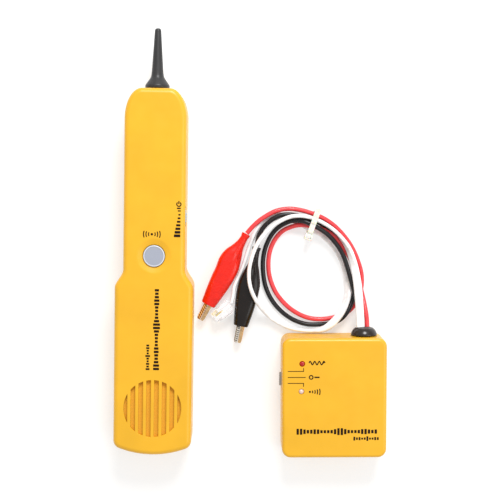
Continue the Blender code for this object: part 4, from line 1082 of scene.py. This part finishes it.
# Distance from the wire end, half width across the jaws, half thickness, squareness
BOOT_STATIONS = (
    (0.0, 2.55, 2.3, 1.0),
    (1.2, 2.55, 2.35, 1.0),
    (2.0, 2.2, 2.15, 1.0),
    (6.0, 2.35, 2.3, 0.95),
    (9.5, 2.9, 2.7, 0.9),
    (13.0, 4.1, 3.4, 0.8),
    (17.0, 5.3, 4.0, 0.72),
    (21.0, 6.3, 4.5, 0.68),
    (24.0, 6.5, 4.6, 0.66),
    (28.0, 6.45, 4.6, 0.66),
    (34.0, 6.0, 4.55, 0.7),
    (40.0, 5.3, 4.5, 0.78),
    (45.5, 4.5, 4.25, 0.85),
    (46.6, 4.35, 4.2, 0.85),
    (47.0, 4.15, 4.0, 0.85),
)
BOOT_LENGTH = BOOT_STATIONS[-1][0]
# How much fuller a boot is on its free side behind the hinge. The black one lies under the cable.
BOOT_SHOULDER = {"red": 2.0, "black": 0.0}


def boot_ring(station, shoulder, shrink=0.0, segments=112):
    """One section of a boot. Behind the hinge it has two raised ribs and may be fuller on its free side."""
    d, width, thick, square = station
    shoulder_at, shoulder_reach = 14.5, 12.5
    rib_at, rib_reach, rib_height = 13.0, 7.5, 0.6
    swell = 0.5 + 0.5 * math.cos(math.pi * min(1.0, abs(d - shoulder_at) / shoulder_reach))
    rib = 0.0 if shrink else rib_height * max(0.0, 1.0 - abs(d - rib_at) / rib_reach)
    ring = []
    for c, s in round_circle(segments):
        x = (width - shrink) * math.copysign(abs(c) ** square, c) + shoulder * swell * min(0.0, c)
        z = (thick - shrink) * math.copysign(abs(s) ** square, s)
        for place in (-0.05, 0.32):
            z += math.copysign(rib * max(0.0, 1.0 - abs(c - place) / 0.13), s)
        ring.append((x, -d, z))
    return ring


def boot_sections(count):
    """Evenly spaced sections, with widths that run smoothly through the boot's stations."""
    out = []
    for d in [BOOT_LENGTH * i / count for i in range(count + 1)]:
        k = max(i for i, station in enumerate(BOOT_STATIONS[:-1]) if station[0] <= d + 1e-6)
        low, high = BOOT_STATIONS[k], BOOT_STATIONS[k + 1]
        before = BOOT_STATIONS[max(0, k - 1)]
        after = BOOT_STATIONS[min(len(BOOT_STATIONS) - 1, k + 2)]
        out.append((d, *(hermite(before, low, high, after, d, n) for n in (1, 2, 3))))
    return out


def hermite(before, low, high, after, d, n):
    """A smooth value between two stations, level where the stations turn round."""
    span = high[0] - low[0]
    t = (d - low[0]) / span
    into, out_of = slope(before, low, high, n) * span, slope(low, high, after, n) * span
    ease = 3 * t**2 - 2 * t**3
    return low[n] + (high[n] - low[n]) * ease + (t**3 - 2 * t**2 + t) * into + (t**3 - t**2) * out_of


def slope(before, at, after, n):
    left = (at[n] - before[n]) / max(1e-6, at[0] - before[0]) if at is not before else 0.0
    right = (after[n] - at[n]) / max(1e-6, after[0] - at[0]) if after is not at else 0.0
    if left * right <= 0:
        return 0.0
    return 2 * left * right / (left + right)


def follow_jaws(made):
    """Bakes a soft or sprung piece's placement into its mesh, so that it stays where it was placed."""
    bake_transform(made)
    return made


def boot(colour, where, finish):
    sections = boot_sections(67)
    outer = [boot_ring(s, BOOT_SHOULDER[colour]) for s in sections]
    inner = [boot_ring(s, BOOT_SHOULDER[colour], 0.9) for s in sections]
    made = piece(f"{colour}_boot", sleeve(outer, inner), where, finish, None,
                 [f"{colour}_clip_boot"], 45)
    return follow_jaws(made)


def jaw_mesh(side):
    """A pressed jaw: a channel that narrows to its tip, with teeth along both edges."""
    tip_y, teeth_start, hollow_end = -CLIP_LENGTH, -44.0, 0.9 - CLIP_LENGTH
    reach = ((PIN_Y - 3.0, 3.7), (-34.0, 3.2), (-46.0, 2.4), (tip_y + 1.2, 2.25), (tip_y, 1.8))
    stations = [(y, 0.14 if y < teeth_start else 0.9) for y in (PIN_Y - 3.0, -30.0, -34.0, -40.0, -45.5)]
    for y in [tip_y + 9.6 - 1.36 * i for i in range(7)]:
        stations += [(y, 0.14), (y - 0.62, 0.45), (y - 0.74, 0.14)]
    rings = []
    for y, edge in stations + [(tip_y, 0.14)]:
        for (y0, x0), (y1, x1) in zip(reach, reach[1:]):
            if y0 >= y >= y1:
                out = x0 + (x1 - x0) * (y0 - y) / (y0 - y1)
        wide = 2.6 - 0.6 * (PIN_Y - y) / (PIN_Y - tip_y)
        wall = 0.5 if y > hollow_end else 0.8
        corners = [(edge, wide), (out - 0.5, wide), (out - 0.12, wide - 0.2), (out, wide - 0.6)]
        hollow = [(edge, wide - wall), (out - wall - 0.1, wide - wall)]
        section = [(x, -z) for x, z in corners] + corners[::-1]
        section += hollow + [(x, -z) for x, z in hollow[::-1]]
        rings.append([(side * x, y, z) for x, z in section])
    return loft(rings)


def turned_over(outline, side):
    return outline if side > 0 else [(-x, y) for x, y in reversed(outline)]


def ears(side, levels):
    """The jaw's ears round the hinge pin, one plate for each pair of heights."""
    plate = [(0.9, -3.6), (-1.9, -1.7), (-2.3, 0), (-1.9, 1.7), (1.8, 2.9), (2.6, 5), (3.6, 5), (3.8, -2.6),
             (3.6, -3.6)]
    plate = turned_over([(x, PIN_Y + y) for x, y in plate], side)
    plates = merged([prism(plate, low, high) for low, high in levels])
    return carve(plates, cylinder((0, PIN_Y, 0), 0.95, -4, 4))


def lever(side, fixed):
    """The spring lever behind the pin. The fixed jaw's one runs back to the wire's crimp."""
    back = [(2.0, -14.6), (2.7, -14.4)]
    if fixed:
        back = [(1.6, -13.6), (0.4, -9.4), (-0.7, -9.0), (-0.7, -3.0), (0.7, -3.0), (0.7, -8.8),
                (2.3, -13.6)]
    outline = [(2.6, -19.6), *back, (3.6, -19.6)]
    return softened(prism(turned_over(outline, side), -0.8, 0.8), 0.15, 2)


def jaws(colour, where, jaw_body, teeth_finish):
    fixed = merged([jaw_mesh(-1), ears(-1, ((-2.6, -1.9), (1.9, 2.6))), lever(-1, True)])
    moving = merged([jaw_mesh(1), ears(1, ((-1.6, -0.95), (0.95, 1.6))), lever(1, False)])
    low = piece(f"{colour}_toothed_jaw", fixed, where, teeth_finish, "sender_body",
                [f"{colour}_clip_fixed_jaw"], 25)
    high = piece(f"{colour}_opening_jaw", moving, where, BRASS, jaw_body,
                 [f"{colour}_clip_moving_jaw"], 25)
    return [low, high]


def swept(points, radius, segments=10):
    """A round rod along a line of points."""
    line = [Vector(p) for p in points]
    rings, side = [], Vector((0.3, 0.5, 1.0))
    for i, at in enumerate(line):
        along = direction(line, i)
        side = (side - along * side.dot(along)).normalized()
        up = along.cross(side)
        rings.append([at + (side * u + up * v) * radius for u, v in round_circle(segments)])
    return loft(rings)


def spring(colour, where):
    """The torsion spring: its coil sits on the pin and a leg bears on each lever."""
    per_turn, turns, radius, half = 24, 2.5, 1.45, 0.6
    count = int(per_turn * turns)
    coil = []
    for i in range(1, count):
        a = 2 * math.pi * i / per_turn
        coil.append((radius * math.cos(a), PIN_Y + radius * math.sin(a), 2 * half * i / count - half))
    leg = ((1.5, PIN_Y + 2.0), (1.7, PIN_Y + 4.5), (1.9, PIN_Y + 7.0))
    points = [(x, y, -half) for x, y in reversed(leg)] + coil + [(-x, y, half) for x, y in leg]
    made = piece(f"{colour}_torsion_spring", swept(points, 0.2), where, STEEL, None,
                 [f"{colour}_clip_spring"], 60)
    return follow_jaws(made)


def clip(colour, where, rubber_finish, teeth_finish):
    jaw_body = f"{colour}_jaw_body"
    made = [boot(colour, where, rubber_finish), spring(colour, where)]
    return made + jaws(colour, where, jaw_body, teeth_finish) + [NODES[f"{colour}_clip_pin"]]


# Phone plug


def plug_shell():
    """The clear body: chamfered nose, contact slots, cable bore and the strain relief's window."""
    x, z = PLUG_HALF
    nose = -PLUG_LENGTH
    outline = [(-x, nose + 0.6), (-x + 0.6, nose), (x - 0.9, nose), (x - 0.9, nose + 3.0), (x, nose + 3.8),
               (x, 0), (-x, 0)]
    mesh = softened(prism(outline, -z, z), 0.22)
    contacts = [(i - 1.5) * CONTACT_PITCH for i in range(4)]
    slots = [block((-x - 1, nose - 1, w - 0.45), (-x + 2.4, nose + 4.4, w + 0.45)) for w in contacts]
    section = rounded_rectangle(-1.35, 1.35, -2.65, 2.65, 0.8, 4)
    bore = loft([[(u, y, w) for u, w in section] for y in (1.0, -6.4)])
    window = softened(block((-x - 1, -5.2, -2.4), (-x + 1.3, -2.6, 2.4)), 0.2, 2)
    mesh = carve(mesh, merged(slots), bore, window)
    return piece("plug_shell", mesh, PLUG, CLEAR, "sender_body", ["plug_body"])


def plug_cores():
    """The four insulated cores that fan out from the jacket to the contacts."""
    colours = {"black": (0.02, 0.02, 0.02), "red": (0.7, 0.03, 0.03), "green": (0.03, 0.35, 0.08),
               "yellow": (0.8, 0.6, 0.05)}
    pieces = []
    for i, (name, colour) in enumerate(colours.items()):
        centre = (-0.2, 0, (i - 1.5) * CORE_PITCH)
        mesh = turned([(0.36, -5.6), (0.38, -6.2), (0.38, -10.6), (0.3, -10.8)], centre, "y", 20)
        finish = rubber(f"core_{name}", colour, 0.4)
        pieces.append(piece(f"plug_core_{i + 1}", mesh, PLUG, finish, "sender_body"))
    return pieces


def latch():
    """The spring lever: thin at its root, with a stepped shoulder and a thumb end."""
    x, root = PLUG_HALF[0], 0.1 - PLUG_LENGTH
    outline = [(0.3, 0), (0.7, 3.0), (1.1, 3.9), (1.6, 10.9), (0.9, 11.1), (0.6, 5.0), (0.35, 3.4),
               (-0.6, 1.2), (-0.6, 0)]
    body = softened(prism([(x + u, root + v) for u, v in outline], -3.1, 3.1), 0.12, 2)
    return piece("latch", body, PLUG, FROSTED, "plug_latch_body", ["plug_latch"])


# Carried CAD nodes


def repaint():
    """Every CAD node that still shows gets a worked finish."""
    finishes = {
        BOARD: ["receiver_board", "sender_board"],
        CHIP: ["amplifier_chip", "oscillator_chip", "test_switch", "volume_control", "switch_body",
               "receiver_battery_snap", "sender_battery_snap"],
        PAPER: ["speaker_cone"],
        FERRITE: ["antenna_core", "speaker_magnet"],
        GRILLE_OCHRE: ["grille_cloth"],
        CAN: ["receiver_battery", "sender_battery"],
        GOLD: [f"plug_contact_{i}" for i in range(1, 5)],
        STEEL: ["speaker_frame", "red_clip_pin", "black_clip_pin"]
        + [f"{b}_screw_{i}" for b in ("receiver", "sender") for i in range(1, 5)],
    }
    for finish, names in finishes.items():
        for name in names:
            node = NODES[name]
            node.data.materials.clear()
            node.data.materials.append(finish)


# Stage


def stage():
    """A white table top, a bright surround and a soft light from beyond the far edge."""
    half, sunk = 12.0, -0.0001
    mesh = bpy.data.meshes.new("floor")
    corners = [(-half, -half, 0), (half, -half, 0), (half, half, 0), (-half, half, 0)]
    mesh.from_pydata(corners, [], [(0, 1, 2, 3)])
    floor = linked("floor", mesh)
    floor.location.z = sunk
    made = Finish("white_table", 0.85, Emission_Color=WHITE, Emission_Strength=0.47)
    made.colour(made.noise(30.0, 3.0), (0.2, (0.54, 0.54, 0.54)), (0.8, (0.56, 0.56, 0.56)))
    mesh.materials.append(made.material)
    world = bpy.data.worlds.new("surround")
    world.use_nodes = True
    fill(world.node_tree.nodes["Background"], Color=WHITE, Strength=0.72)
    scene = bpy.context.scene
    scene.world = world
    scene.view_settings.view_transform = "Standard"
    scene.view_settings.look = "None"
    area_light("key", (0.12, 0.74, 0.74), 0.45, 8.6)
    area_light("fill", (0.6, -0.1, 0.7), 0.6, 1.8)


def area_light(name, at, size, power):
    """A round soft light that faces the origin."""
    data = bpy.data.lights.new(name, "AREA")
    data.shape = "DISK"
    data.size = size
    data.energy = power
    made = linked(name, data)
    made.location = at
    made.rotation_euler = (-Vector(at)).to_track_quat("-Z", "Y").to_euler()


def main():
    camera()
    red_lead = wire("red_lead", RED_ROUTE, RED_JACKET, "red_wire")
    black_lead = wire("black_lead", BLACK_ROUTE, BLACK_JACKET, "black_wire")
    cable, cable_path = flat_cable()
    for build in (receiver_front, receiver_back, receiver_door, tip, button, button_rim, wheel,
                  receiver_marks, sender_front, sender_back, sender_door, sender_marks, grommet):
        build()
    led_lens("tone_lamp", TONE_LED_AT, RED_LENS, "tone_led")
    led_lens("continuity_lamp", CONTINUITY_LED_AT, PINK_LENS, "continuity_led")
    slide_knob()
    tie = cable_tie()
    red_clip = clip("red", RED_CLIP, RED_RUBBER, RED_TEETH)
    black_clip = clip("black", BLACK_CLIP, BLACK_RUBBER, BLACK_TEETH)
    plug = [plug_shell(), latch(), tie] + plug_cores()
    repaint()
    stage()
    plug += [NODES[f"plug_contact_{i}"] for i in range(1, 5)]


main()
